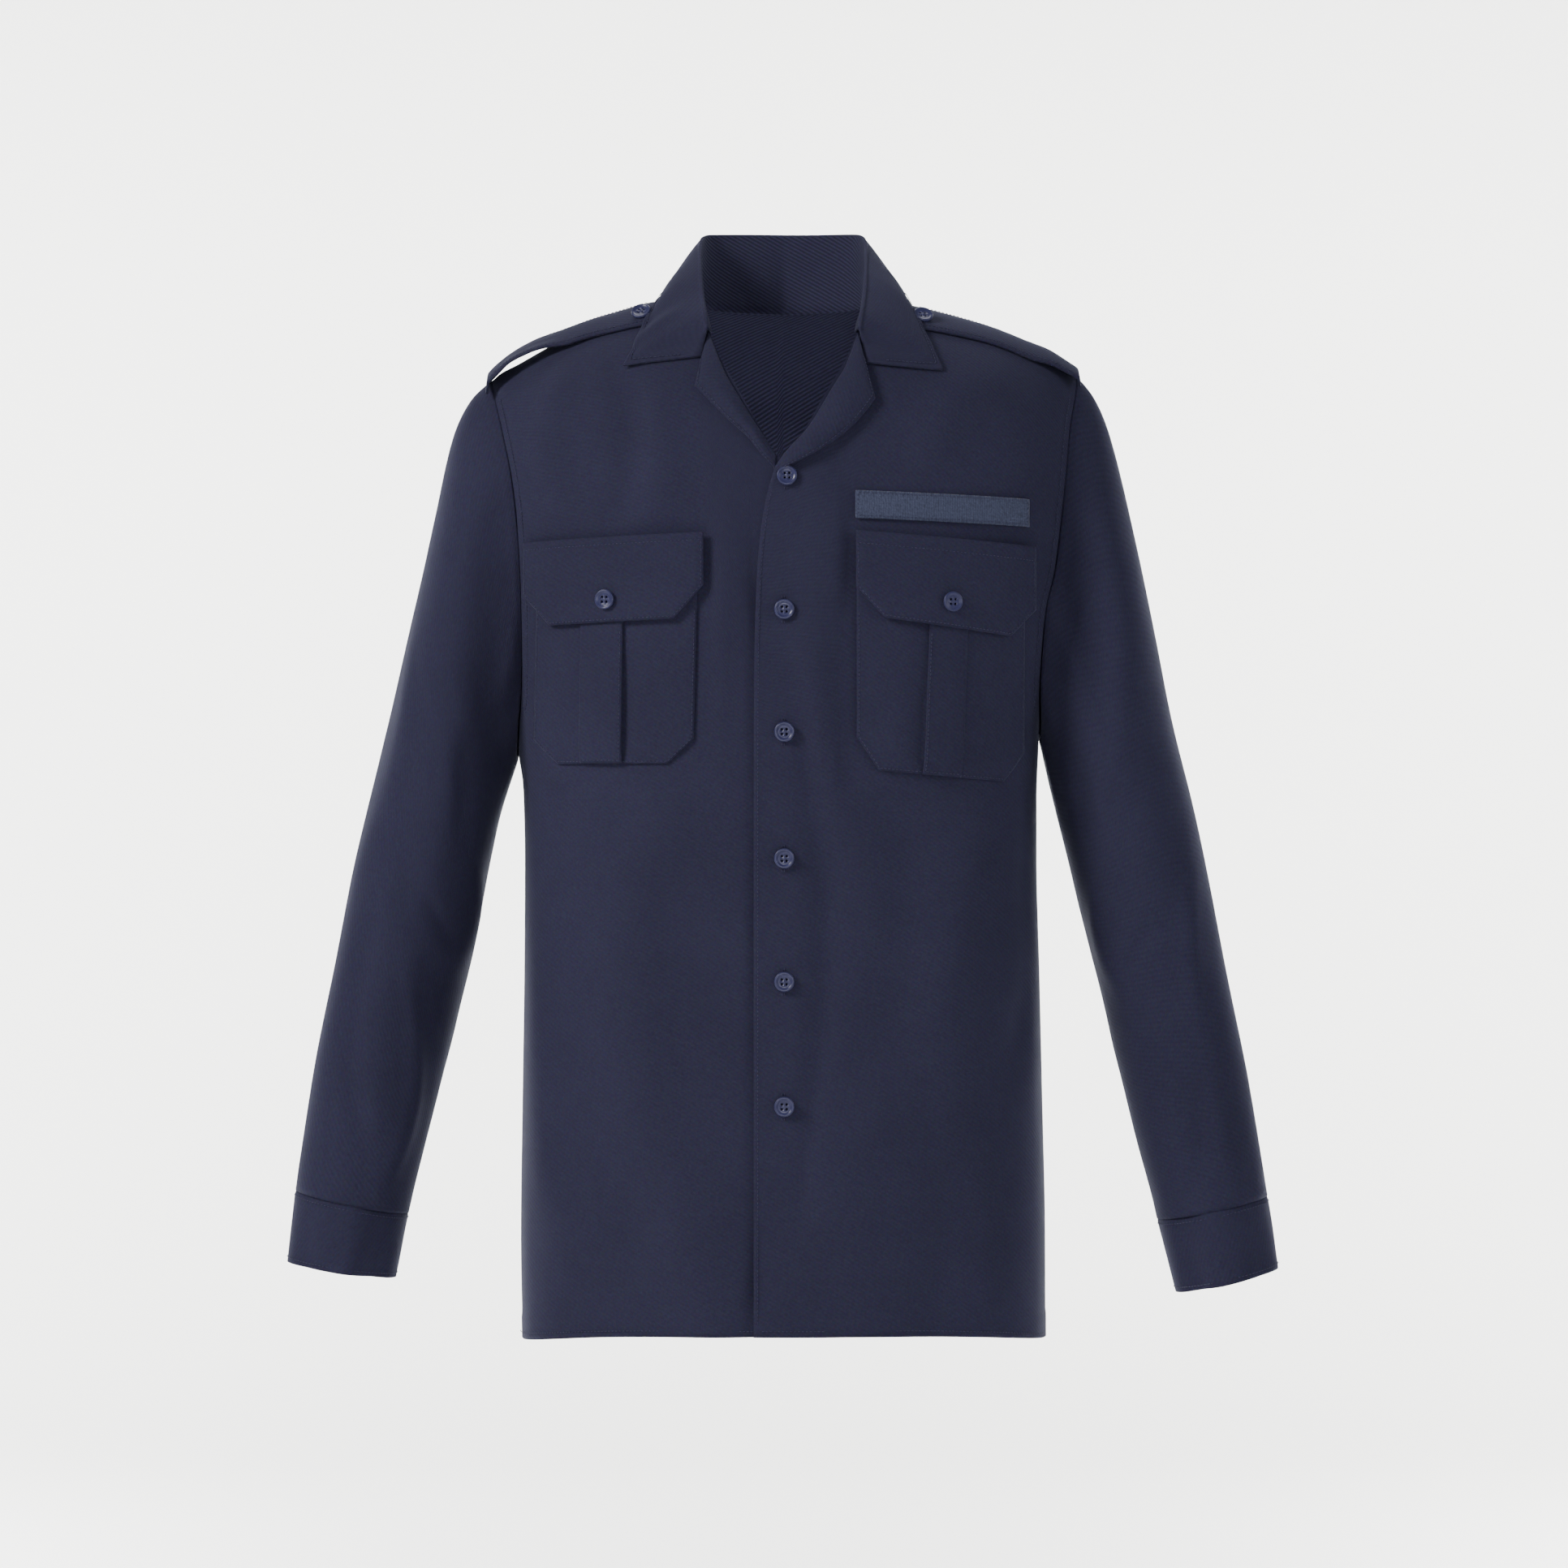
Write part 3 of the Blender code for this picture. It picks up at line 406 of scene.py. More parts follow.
def sleeve_ring(side, down, turn):
    outer, inner = [[read_table(line[side], "down", axis, down) for axis in "xz"]
                    for line in (SLEEVE_OUTER, SLEEVE_INNER)]
    deep, forward = [read_table(SLEEVE_DEPTH, "down", name, down)
                     for name in ("deep", "forward")]
    return ring_point(outer, inner, deep, forward, turn)


def sleeve_point(side, turn, down):
    point = sleeve_ring(side, down, turn)
    fade = 1 - smooth_step(down / SLEEVE_HEAD)
    if fade > 0:
        head = armhole_point(side, turn % 1.0) + np.array([ARMHOLE_GAP, 0.0, 0.0])
        point = point + fade * (head - sleeve_ring(side, 0.0, turn))
    return point


def cuff_point(side, turn, down):
    top = sleeve_ring(side, 1.0, turn)
    bottom = ring_point(CUFF_END[side]["outer"], CUFF_END[side]["inner"], CUFF_DEEP,
                        CUFF_FORWARD, turn)
    return top + (bottom - top) * down


def even(count):
    return [i / count for i in range(count + 1)]


def panel(face, side, start, lift):
    """Half of the body from the line start(z) out to the side seam and armhole.

    It gives place(column, row): column 0 is the start and 1 the seam; row -1 is the hem, 0
    the armpit and 1 the neck and shoulder.
    """
    sign = sign_of(side)

    def across_at(column, z):
        edge = start(z) * sign
        reach = side_edge(side, z)
        return edge + (reach - edge) * math.sin(column * math.pi / 2)

    @lru_cache(maxsize=None)
    def top_of(column):
        low, high = start(BREAK_POINT) * sign, 0.24
        for _ in range(24):
            middle = (low + high) / 2
            height = neckline_height(face, side, middle)
            if across_at(column, height) > middle:
                low = middle
            else:
                high = middle
        return neckline_height(face, side, low)

    def place(column, row):
        armpit = ARMPIT[side]
        z = armpit + (top_of(column) - armpit) * row if row > 0 else armpit
        x = sign * across_at(column, z)
        if row < 0:
            z = armpit + (hem_height(face, x) - armpit) * -row
            x = sign * across_at(column, z)
        return body_point(face, x, z, lift(x))

    return place


def neck_column(side, start):
    """The column that ends at the neck point, so that a grid line meets that corner."""
    edge = start(NECK_TOP) * sign_of(side)
    reach = side_edge(side, NECK_TOP)
    return math.asin((NECK_HALF - edge) / (reach - edge)) * 2 / math.pi


# Collar: how high, deep and wide it stands

COLLAR_LIFT = 0.0008    # of the collar's seam over the neck edge, and inward from it
COLLAR_INSET = 0.0018
FOLD_ROUND = 0.0016     # radius of the pressed fold, sharper than the frame's
LEAF_SWELL = 0.0035     # how far the leaf bows out between its fold and its edge
STEEP_DROP = 0.032      # below the shoulder line by this much the leaf moves forward, not up
LEAF_CLEAR = 0.0034     # between the leaf and the body
STRAP_CLEAR = 0.0060    # over an epaulette, from this far before its edges
LEAF_MARGIN = 0.014
LEAF_FADE = 0.006
FOLD_START = 0.42       # shares of the way from the seam to the free edge
FOLD_END = 0.50
FRONT_SHARE = 0.46      # of the neck seam lies in front of the shoulder
LEFT_LEAF_DROP = 0.005  # the left leaf's point hangs lower than the right one's

COLLAR = named_rows("run seam fold_x fold_y fold_z edge_x edge_y edge_z", [
    (0.00, 0.00, 0.0548, -0.0775, -0.0250, 0.0602, -0.0850, -0.0470),
    (0.12, 0.10, 0.0560, -0.0710, -0.0160, 0.1180, -0.0830, -0.0535),
    (0.26, 0.22, 0.0588, -0.0470, 0.0030, 0.1065, -0.0620, -0.0300),
    (0.40, 0.34, 0.0605, -0.0180, 0.0240, 0.0975, -0.0380, -0.0080),
    (0.54, 0.48, 0.0610, 0.0100, 0.0400, 0.0915, -0.0050, 0.0020),
    (0.67, 0.62, 0.0598, 0.0350, 0.0520, 0.0860, 0.0330, 0.0010),
    (0.78, 0.74, 0.0550, 0.0530, 0.0565, 0.0745, 0.0660, -0.0055),
    (0.88, 0.86, 0.0350, 0.0660, 0.0578, 0.0460, 0.0850, -0.0120),
    (1.00, 1.00, 0.0000, 0.0710, 0.0580, 0.0000, 0.0920, -0.0145),
])


def neck_seam(side, share):
    if share < FRONT_SHARE:
        t = share / FRONT_SHARE
        reach = GORGE_HALF + (NECK_HALF - GORGE_HALF) * t ** 1.3
        face = "front"
    else:
        t = (share - FRONT_SHARE) / (1 - FRONT_SHARE)
        reach = NECK_HALF * math.cos(t * math.pi / 2)
        face = "back"
    return body_point(face, sign_of(side) * reach, neckline_height(face, side, reach))


@lru_cache(maxsize=None)
def collar_station(side, run):
    """Where the neck seam, the fold and the free edge lie, from the front, 0, to the back, 1."""
    row = {name: read_table(COLLAR, "run", name, run) for name in COLLAR[0]}
    fold, edge = [mirrored(side, [row[line + axis] for axis in "xyz"])
                  for line in ("fold_", "edge_")]
    if side == "left":
        edge[2] -= LEFT_LEAF_DROP * (1 - smooth_step(run / 0.3))
    base = neck_seam(side, row["seam"])
    middle = np.array([0.0, min(0.0, base[1]), base[2]])
    base = base + COLLAR_INSET * unit(middle - base)
    base[2] += COLLAR_LIFT
    return base, fold, edge


def clear_of_body(point):
    """The point, moved out where the leaf would touch the body or an epaulette."""
    x, y, z = point
    side = side_of(x)
    face, towards = ("front", -1.0) if y <= 0 else ("back", 1.0)
    over_strap = smooth_step((abs(x) - STRAP_START + LEAF_MARGIN) / LEAF_FADE)
    over_strap *= smooth_step((y - STRAP_FRONT + LEAF_MARGIN) / LEAF_FADE)
    over_strap *= smooth_step((STRAP_BACK + LEAF_MARGIN - y) / LEAF_FADE)
    clear = LEAF_CLEAR + (STRAP_CLEAR - LEAF_CLEAR) * over_strap
    if shoulder_height(side, x) - z > STEEP_DROP:
        forward = body_depth(side, face, x, z) + clear - abs(y)
        return point + np.array([0.0, towards * max(0.0, forward), 0.0])
    upward = shoulder_top(side, abs(x), y) + clear - z
    return point + np.array([0.0, 0.0, max(0.0, upward)])


def collar_point(side, run, line):
    base, fold, edge = collar_station(side, run)
    out = edge - fold
    out[2] = 0.0
    out /= max(1e-6, np.linalg.norm(out))
    up = np.array([0.0, 0.0, 1.0])
    width = min(FOLD_ROUND, 0.45 * np.linalg.norm(fold - base))
    inner = fold - up * width
    start = fold + out * width * 2 - up * width
    if line <= FOLD_START:
        return base + (inner - base) * (line / FOLD_START)
    if line <= FOLD_END:
        angle = math.pi * (line - FOLD_START) / (FOLD_END - FOLD_START)
        return inner + out * width * (1 - math.cos(angle)) + up * width * math.sin(angle)
    t = (line - FOLD_END) / (1 - FOLD_END)
    swell = 4 * t * (1 - t) * LEAF_SWELL * smooth_step(run / 0.22)
    return clear_of_body(start + (edge - start) * t + (out + up * 0.6) * swell)


LAPEL_LIFT = 0.0022     # of the lapel over the front
LAPEL_SWELL = 0.0040
BUTTON_CLEARANCE = 0.0034   # more where the left lapel bridges the top button

LAPELS = {
    "right": named_rows("run roll_x roll_z edge_x edge_z", [
        (0.00, 0.0550, -0.0300, 0.0604, -0.0503),
        (0.28, 0.0440, -0.0590, 0.0648, -0.0712),
        (0.40, 0.0370, -0.0720, 0.0535, -0.0826),
        (0.55, 0.0275, -0.0880, 0.0404, -0.0957),
        (0.70, 0.0180, -0.1030, 0.0255, -0.1094),
        (0.85, 0.0120, -0.1120, 0.0175, -0.1195),
        (1.00, 0.0050, -0.1225, 0.0052, -0.1330),
    ]),
    "left": named_rows("run roll_x roll_z edge_x edge_z", [
        (0.00, 0.0548, -0.0330, 0.0590, -0.0505),
        (0.28, 0.0450, -0.0590, 0.0672, -0.0813),
        (0.40, 0.0370, -0.0720, 0.0594, -0.0914),
        (0.55, 0.0275, -0.0880, 0.0480, -0.1034),
        (0.70, 0.0175, -0.1040, 0.0332, -0.1150),
        (0.85, 0.0066, -0.1160, 0.0142, -0.1262),
        (1.00, -0.0060, -0.1310, -0.0052, -0.1345),
    ]),
}


LAPEL_CORNER = 0.28     # run at which the lapel's free corner lies
LAPEL_TUCK = 0.0045     # how far the lapel turns in round the neck edge
LAPEL_ROUND = 0.0008
LAPEL_SETTLE = {"right": 0.0019, "left": 0.0016}    # how far its lower end sinks to the front
LOWER_LAPELS = {side: rows[1:] for side, rows in LAPELS.items()}


def lapel_edge(side, run):
    """The free edge: straight from the gorge to the corner, then down to the break."""
    if run >= LAPEL_CORNER:
        return np.array([read_table(LOWER_LAPELS[side], "run", "edge_" + axis, run)
                         for axis in "xz"])
    top, corner = [np.array([row["edge_x"], row["edge_z"]]) for row in LAPELS[side][:2]]
    return top + (corner - top) * run / LAPEL_CORNER


def lapel_point(side, across, run, out=0.0):
    """Point of a lapel, from its fold, 0, to its free edge, 1; below 0 it turns in."""
    roll = np.array([read_table(LAPELS[side], "run", "roll_" + axis, run) for axis in "xz"])
    free = lapel_edge(side, run)
    if across < 0:
        turn = min(1.0, -across) * math.pi / 2
        x, z = roll + unit(roll - free) * LAPEL_ROUND * math.sin(turn)
        out -= LAPEL_TUCK * (1 - math.cos(turn))
        across = 0.0
    else:
        x, z = roll + (free - roll) * across
    lift = LAPEL_LIFT + LAPEL_SWELL * 4 * across * (1 - across) * math.sin(math.pi * run)
    if side == "left":
        over_button = smooth_step((run - 0.6) / 0.2) * smooth_step((1 - run) / 0.08)
        lift += OVERLAP_LIFT + BUTTON_CLEARANCE * over_button
        lift -= LAPEL_SETTLE["left"] * smooth_step((run - 0.9) / 0.1)
    else:
        lift -= LAPEL_SETTLE["right"] * smooth_step((run - 0.75) / 0.20)
    return body_point("front", sign_of(side) * x, z, lift + out)


# Pockets, flaps, pleats and the name-tape strip

LAYER_GAP = 0.0010      # between a chest piece and the front, and between chest pieces
STACK_GAP = 0.0005
POCKET_SWELL = 0.0026   # how far a filled-out pocket stands off the chest
PLEAT_STEP = 0.0005     # how far the pleat strip's folded middle stands up
POCKET_WALL = 0.0010
PLEAT_WALL = 0.0010
FLAP_WALL = 0.0016
TAPE_WALL = 0.0016

CHEST = {
    "right": dict(flap_in=0.0577, flap_out=0.1882, flap_top=-0.1787, flap_slope=0.041,
                  flap_deep=0.0620, flap_clip=(0.021, 0.0235), flap_fan=0.0, flap_row=0.09,
                  pocket_in=0.0618, pocket_out=0.1800, pocket_top=-0.1880,
                  pocket_end=-0.3470, pocket_slope=0.000, pocket_clip=(0.019, 0.018),
                  pocket_lean=0.022, pleat_in=0.1150, pleat_wide=0.0305, pleat_lean=0.012,
                  button_x=0.1266, button_z=-0.2274),
    "left": dict(flap_in=0.0528, flap_out=0.1826, flap_top=-0.1775, flap_slope=0.073,
                 flap_deep=0.0607, flap_clip=(0.020, 0.0200), flap_fan=0.13, flap_row=0.15,
                 pocket_in=0.0534, pocket_out=0.1770, pocket_top=-0.1880,
                 pocket_end=-0.3505, pocket_slope=0.090, pocket_clip=(0.016, 0.023),
                 pocket_lean=0.0, pleat_in=0.1070, pleat_wide=0.0275, pleat_lean=-0.040,
                 button_x=0.1204, button_z=-0.2290),
}
NAME_TAPE = dict(inner=0.0528, outer=0.1800, top=-0.1479, slope=0.036, high=0.0200)

Patch = namedtuple("Patch", "inner outer top slope high clip base lean fan",
                   defaults=(0.0, 0.0))


def patch_point(side, patch, across, down, out=0.0):
    """Point on a flat piece sewn to the chest, with its two lower corners cut slantwise."""
    wide = patch.outer - patch.inner
    cut = max(0.0, 1 - (1 - down) * patch.high / patch.clip[1]) * patch.clip[0]
    across_at = cut + (wide - 2 * cut) * across
    depth = down * patch.high * (1 + patch.fan * across_at / wide)
    x = patch.inner + across_at + patch.lean * depth
    z = patch.top - patch.slope * across_at - depth
    return body_point("front", sign_of(side) * x, z, patch.base + out)


def place_in(patch, x, z):
    """The share across and down a patch at which a place on the chest lies."""
    across_at = abs(x) - patch.inner - patch.lean * (patch.top - z)
    return (across_at / (patch.outer - patch.inner),
            (patch.top - patch.slope * across_at - z) / patch.high)


@lru_cache(maxsize=None)
def pocket_frame(side):
    size = CHEST[side]
    return Patch(size["pocket_in"], size["pocket_out"], size["pocket_top"],
                 size["pocket_slope"], size["pocket_top"] - size["pocket_end"],
                 size["pocket_clip"], LAYER_GAP, size["pocket_lean"])


@lru_cache(maxsize=None)
def pleat_frame(side):
    size = CHEST[side]
    top = size["flap_top"] - 0.030
    high = top - size["pocket_end"] - 0.0006
    high += size["pocket_slope"] * (size["pleat_in"] - size["pocket_in"])
    return Patch(size["pleat_in"], size["pleat_in"] + size["pleat_wide"], top,
                 size["pocket_slope"], high, (0.0, 0.001),
                 LAYER_GAP + POCKET_WALL + STACK_GAP, size["pleat_lean"])


@lru_cache(maxsize=None)
def flap_frame(side):
    size = CHEST[side]
    return Patch(size["flap_in"], size["flap_out"], size["flap_top"], size["flap_slope"],
                 size["flap_deep"], size["flap_clip"],
                 LAYER_GAP + POCKET_WALL + PLEAT_WALL + 2 * STACK_GAP, 0.0,
                 size["flap_fan"])


@lru_cache(maxsize=None)
def tape_frame():
    return Patch(NAME_TAPE["inner"], NAME_TAPE["outer"], NAME_TAPE["top"],
                 NAME_TAPE["slope"], NAME_TAPE["high"], (0.0, 0.001), LAYER_GAP)


def pocket_swell(side, x, z):
    """How far the filled-out pocket stands off the chest at a place."""
    a, d = place_in(pocket_frame(side), x, z)
    if not (0 < a < 1 and 0 < d < 1):
        return 0.0
    return (POCKET_SWELL * math.sin(math.pi * a) ** 0.7 * smooth_step(d / 0.3)
            * smooth_step((1 - d) / 0.08))


# How far each chest piece's surface stands off its own flat form, by share across and down

CHEST_WAVES = dict(high=0.0003, grain=0.03)
PLEAT_HOLLOW = 0.95     # share of the pocket's swell that is missing beside the pleat
FLAP_ROLL = 0.0010      # the turned edges' thickness
FLAP_LIP = 0.0006       # the lower edge curls out
FLAP_DIP = 0.0004       # along the row of stitches under its top
TAPE_LONG = 0.127       # the name tape's length, to the millimetre
TAPE_PILE = 0.0007
TAPE_ROUND = 0.0022     # over which the pile falls off to the tape's edge
TAPE_SHARE = 0.7        # of its whole thickness is the woven ground under the pile


def pocket_relief(side):
    def relief(a, d, point):
        x, _, z = point
        pleat_a, _ = place_in(pleat_frame(side), x, z)
        gap = pleat_a * CHEST[side]["pleat_wide"]
        hollow = hump(gap, -0.001, 0.011 if gap < 0 else 0.004)
        hollow *= 0.25 + 0.75 * smooth_step((d - 0.35) / 0.40)
        swell = pocket_swell(side, x, z)
        uneven = chest_waves(x, z, 41.0) * min(1.0, swell / 0.001)
        return swell * (1 - PLEAT_HOLLOW * hollow) + uneven

    return relief


def chest_waves(x, z, seed):
    return CHEST_WAVES["high"] * waves(x, z, CHEST_WAVES["grain"], seed)


def pleat_relief(side):
    def relief(a, d, point):
        x, _, z = point
        fold = PLEAT_STEP * smooth_step(a / 0.06) * smooth_step((1 - a) / 0.35)
        return fold + pocket_swell(side, x, z)

    return relief


def flap_relief(side):
    def relief(a, d, point):
        x, _, z = point
        inner = min(a, 1 - a, 1 - d)
        high = FLAP_ROLL * smooth_step(inner / 0.05) * smooth_step(d / 0.25)
        high += FLAP_LIP * smooth_step((d - 0.45) / 0.55)
        high += pocket_swell(side, x, z) * smooth_step(d / 0.3)
        high -= FLAP_DIP * hump(d, CHEST[side]["flap_row"], 0.02)
        return high + chest_waves(x, z, 51.0)

    return relief


def tape_relief(a, d, point):
    edge = min(min(d, 1 - d) * NAME_TAPE["high"], min(a, 1 - a) * TAPE_LONG)
    return TAPE_PILE * smooth_step(edge / TAPE_ROUND)


# Epaulettes

STRAP_START = 0.0880    # from the collar's end to the armhole seam
STRAP_END = 0.2190
STRAP_BACK = 0.0040     # y of its back edge and its front edge
STRAP_FRONT = -0.0450
STRAP_POINT = 0.012     # how much shorter its corners are than its middle, by the collar
STRAP_SKEW = 0.013      # its front edge comes forward by the collar and back by the arm
STRAP_BOW = (0.158, 0.2165)  # where the right strap bows up clear of the shoulder
STRAP_WALL = 0.0020
STRAP_TURN = {"right": 0.0080, "left": 0.0060}      # how far the sewn-in end turns down
STRAP_BUTTON_X = {"right": 0.1045, "left": 0.1030}
STRAP_BUTTON_Y = -0.0330
BUTTON_TIP = 0.45         # how far an epaulette's loose button tips forward
STRAP_TUCK = 1.03       # along the strap, where its turned-down end stops
ARM_LIMIT = 0.185       # past this x, the shoulder keeps the depth that it has there

STRAP_RISE = named_rows("x right left", [
    (0.088, 0.0006, 0.0006),
    (0.120, 0.0006, 0.0008),
    (0.155, 0.0034, 0.0008),
    (0.177, 0.0063, 0.0010),
    (0.188, 0.0080, 0.0016),
    (0.197, 0.0083, 0.0024),
    (0.205, 0.0073, 0.0028),
    (0.213, 0.0060, 0.0032),
    (0.2235, 0.0038, 0.0040),
])


def shoulder_top(side, x, y):
    """Height of the shoulder at a place, found by steps because depth depends on height."""
    face, roll = ("front", FRONT_ROLL) if y <= 0 else ("back", BACK_ROLL)
    ridge = z = shoulder_height(side, x)
    for _ in range(8):
        half, power, deep = [read_table(BODY_SECTIONS, "z", name, z)
                             for name in (side, "power", face)]
        full = deep * (1 - (min(x, ARM_LIMIT) / half) ** power) ** (1 / power)
        share = min(0.98, abs(y) / max(full, 1e-4))
        z = ridge - roll * (1 - math.sqrt(1 - share ** 2))
    return z


def strap_point(side, across, along):
    """Point on an epaulette; along runs from the collar, 0, to the armhole seam, 1."""
    at = STRAP_START + (STRAP_END - STRAP_START) * min(along, 1.0)
    taper = max(0.0, 1 - along * 10)
    at += STRAP_POINT * abs(2 * across - 1) * taper
    skew = STRAP_SKEW * (2 * min(along, 1.0) - 1)
    y = STRAP_BACK + 0.6 * skew + (STRAP_FRONT - STRAP_BACK + 0.4 * skew) * across
    rise = read_table(STRAP_RISE, "x", side, at)
    z = shoulder_top(side, at, y) + rise
    if side == "right":
        low, high = STRAP_BOW
        bow = smooth_step((at - low) / 0.022) * smooth_step((high - at) / 0.014)
        fall = 0.276 - 0.05 * limited((at - 0.177) / 0.037)
        bowed = shoulder_height(side, at) + rise + 0.0014 - fall * abs(min(y, 0.0))
        z += bow * max(0.0, bowed - z)
    if along > 1.0:
        at += 0.0010
        z -= STRAP_TURN[side] * min(1.0, (along - 1) / (STRAP_TUCK - 1))
    return np.array([sign_of(side) * at, y, z])


# Creases: each is a soft line on a piece, from one place to another, as high as its relief


def crease_relief(creases, a, b):
    """Height of all creases at a place; each fades at both ends and to its two sides."""
    height = 0.0
    for a0, b0, a1, b1, wide, rise in creases:
        run_a, run_b = a1 - a0, b1 - b0
        length = math.hypot(run_a, run_b)
        along = ((a - a0) * run_a + (b - b0) * run_b) / (length * length)
        if not -0.25 < along < 1.25:
            continue
        bow = 0.10 * length * math.sin(math.pi * limited(along))
        off = ((a - a0) * run_b - (b - b0) * run_a) / length - bow * math.copysign(1, rise)
        if abs(off) > 3 * wide:
            continue
        ends = smooth_step((along + 0.25) / 0.5) * smooth_step((1.25 - along) / 0.5)
        height += rise * ends * hump(off, 0.0, wide)
    return height


def waves(a, b, grain, seed):
    """Slight unevenness that any hung cloth has, stretched along its length."""
    return noise.noise(Vector((a / grain, b / (grain * 2.4), seed)))


# Meshes


def new_object(name, data):
    made = bpy.data.objects.new(name, data)
    bpy.context.collection.objects.link(made)
    return made


def finished_mesh(name, bm):
    """A smooth mesh of the bmesh, which is freed."""
    mesh = bpy.data.meshes.new(name)
    bm.to_mesh(mesh)
    bm.free()
    mesh.shade_smooth()
    return mesh


def grid_normals(points, closed):
    """Unit normals of a grid of points, rows by columns."""
    if closed:
        wrapped = np.concatenate([points[:, -2:-1], points, points[:, 1:2]], axis=1)
        across = wrapped[:, 2:] - wrapped[:, :-2]
    else:
        across = np.gradient(points, axis=1)
    normal = np.cross(across, np.gradient(points, axis=0))
    size = np.linalg.norm(normal, axis=2, keepdims=True)
    return normal / np.maximum(size, 1e-12)


def laid_flat(points):
    """Where each point of a grid lies on the flat cloth, in metres, for the weave."""
    u, v = [np.insert(np.cumsum(np.linalg.norm(np.diff(points, axis=axis), axis=2), axis=axis),
                      0, 0.0, axis=axis) for axis in (1, 0)]
    middle = points.shape[1] // 2
    return u - u[:, middle:middle + 1], np.broadcast_to(v[:, middle:middle + 1], v.shape)


def grid_mesh(name, points, u, v, ribbed_rows, closed, outward):
    """The mesh of a grid of points, its faces looking outward, with the weave as its UV map."""
    rows, columns = points.shape[0] - 1, points.shape[1] - 1
    bm = bmesh.new()
    bmesh.ops.create_grid(bm, x_segments=columns, y_segments=rows, size=0.5)
    weave = bm.loops.layers.uv.new("weave")
    bm.verts.index_update()
    crossing = {}
    for vert in bm.verts:
        crossing[vert.index] = (round((vert.co.y + 0.5) * rows),
                                round((vert.co.x + 0.5) * columns))
        vert.co = points[crossing[vert.index]]
    for face in bm.faces:
        for loop in face.loops:
            at = crossing[loop.vert.index]
            loop[weave].uv = (u[at], v[at])
        if min(crossing[vert.index][0] for vert in face.verts) < ribbed_rows:
            face.material_index = 1
    bm.normal_update()
    if sum(face.normal.dot(Vector(outward(np.array(face.calc_center_median()))))
           for face in bm.faces) < 0:
        bmesh.ops.reverse_faces(bm, faces=bm.faces)
    if closed:
        bmesh.ops.remove_doubles(bm, verts=bm.verts, dist=0.00002)
    return finished_mesh(name, bm)


def cloth(name, across, down, place, outward, wall, relief, closed=False,
          slot="navy_twill", outside=False, turn_weave=False, ribbed_rows=0, lined=False):
    """Sheet of cloth through place(across, down), with its relief and its thickness.

    `outward` is the way its outer face looks; `relief` gives the height of folds at a point.
    The first `ribbed_rows` rows, and a lined cloth's inner face, show the twill's ribs.
    """
    points = np.array([[place(a, d) for a in across] for d in down])
    normals = grid_normals(points, closed)
    lean = sum(float(np.dot(n, outward(p)))
               for n, p in zip(normals[::4, ::4].reshape(-1, 3), points[::4, ::4].reshape(-1, 3)))
    facing = 1.0 if lean > 0 else -1.0
    u, v = laid_flat(points)
    height = np.array([[relief(a, d, points[j, i]) for i, a in enumerate(across)]
                       for j, d in enumerate(down)])
    if closed:
        height[:, -1] = height[:, 0]
    points = points + normals * facing * height[:, :, None]
    u = u * facing      # so that the twill's diagonal falls the same way on every piece
    if turn_weave:
        u, v = v, -u
    piece = new_object(name, grid_mesh(name, points, u, v, ribbed_rows, closed, outward))
    piece.data.materials.append(material(slot))
    if ribbed_rows or lined:
        piece.data.materials.append(material("twill_ribs"))
    thickness = piece.modifiers.new("wall", "SOLIDIFY")
    thickness.thickness = wall
    thickness.offset = 1.0 if outside else -1.0
    thickness.use_even_offset = False
    thickness.material_offset = 1 if lined else 0
    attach(piece, "root")
    return piece


def dressed(node, across, down, place, outward, wall, relief, flat, area=None, held="hung",
            rests_on=(), **finish):
    """The cloth that stands for a node, which it hides; the size that it was cut to is not used.
    """
    piece = cloth(node + "_cloth", across, down, place, outward, wall, relief, **finish)
    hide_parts(node)
    list(rests_on)


def joined(name, template, places, shade):
    """One object of a template bmesh at many places, such as a whole line of stitches."""
    bm = bmesh.new()
    for place in places:
        copy = template.copy()
        copy.transform(place)
        mesh = finished_mesh("copy", copy)
        bm.from_mesh(mesh)
        bpy.data.meshes.remove(mesh)
    piece = new_object(name, finished_mesh(name, bm))
    piece.data.materials.append(material(shade))
    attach(piece, "root")
    return piece


def stitch_shape():
    """One stitch, a short thread of unit length along X that dips at both ends."""
    bm = bmesh.new()
    bmesh.ops.create_cone(bm, cap_ends=True, segments=5, radius1=0.5, radius2=0.5, depth=1.0,
                          matrix=Matrix.Rotation(math.pi / 2, 4, "Y"))
    bmesh.ops.subdivide_edges(
        bm, edges=[e for e in bm.edges if abs(e.verts[0].co.x - e.verts[1].co.x) > 0.5], cuts=2)
    for vert in bm.verts:
        if abs(vert.co.x) > 0.4:
            vert.co.y *= 0.5
            vert.co.z = vert.co.z * 0.5 - 0.45
    bmesh.ops.recalc_face_normals(bm, faces=bm.faces)
    return bm


STITCH_WIDE = 0.00060
STITCH_SAMPLES = 60     # along a line, to measure its length


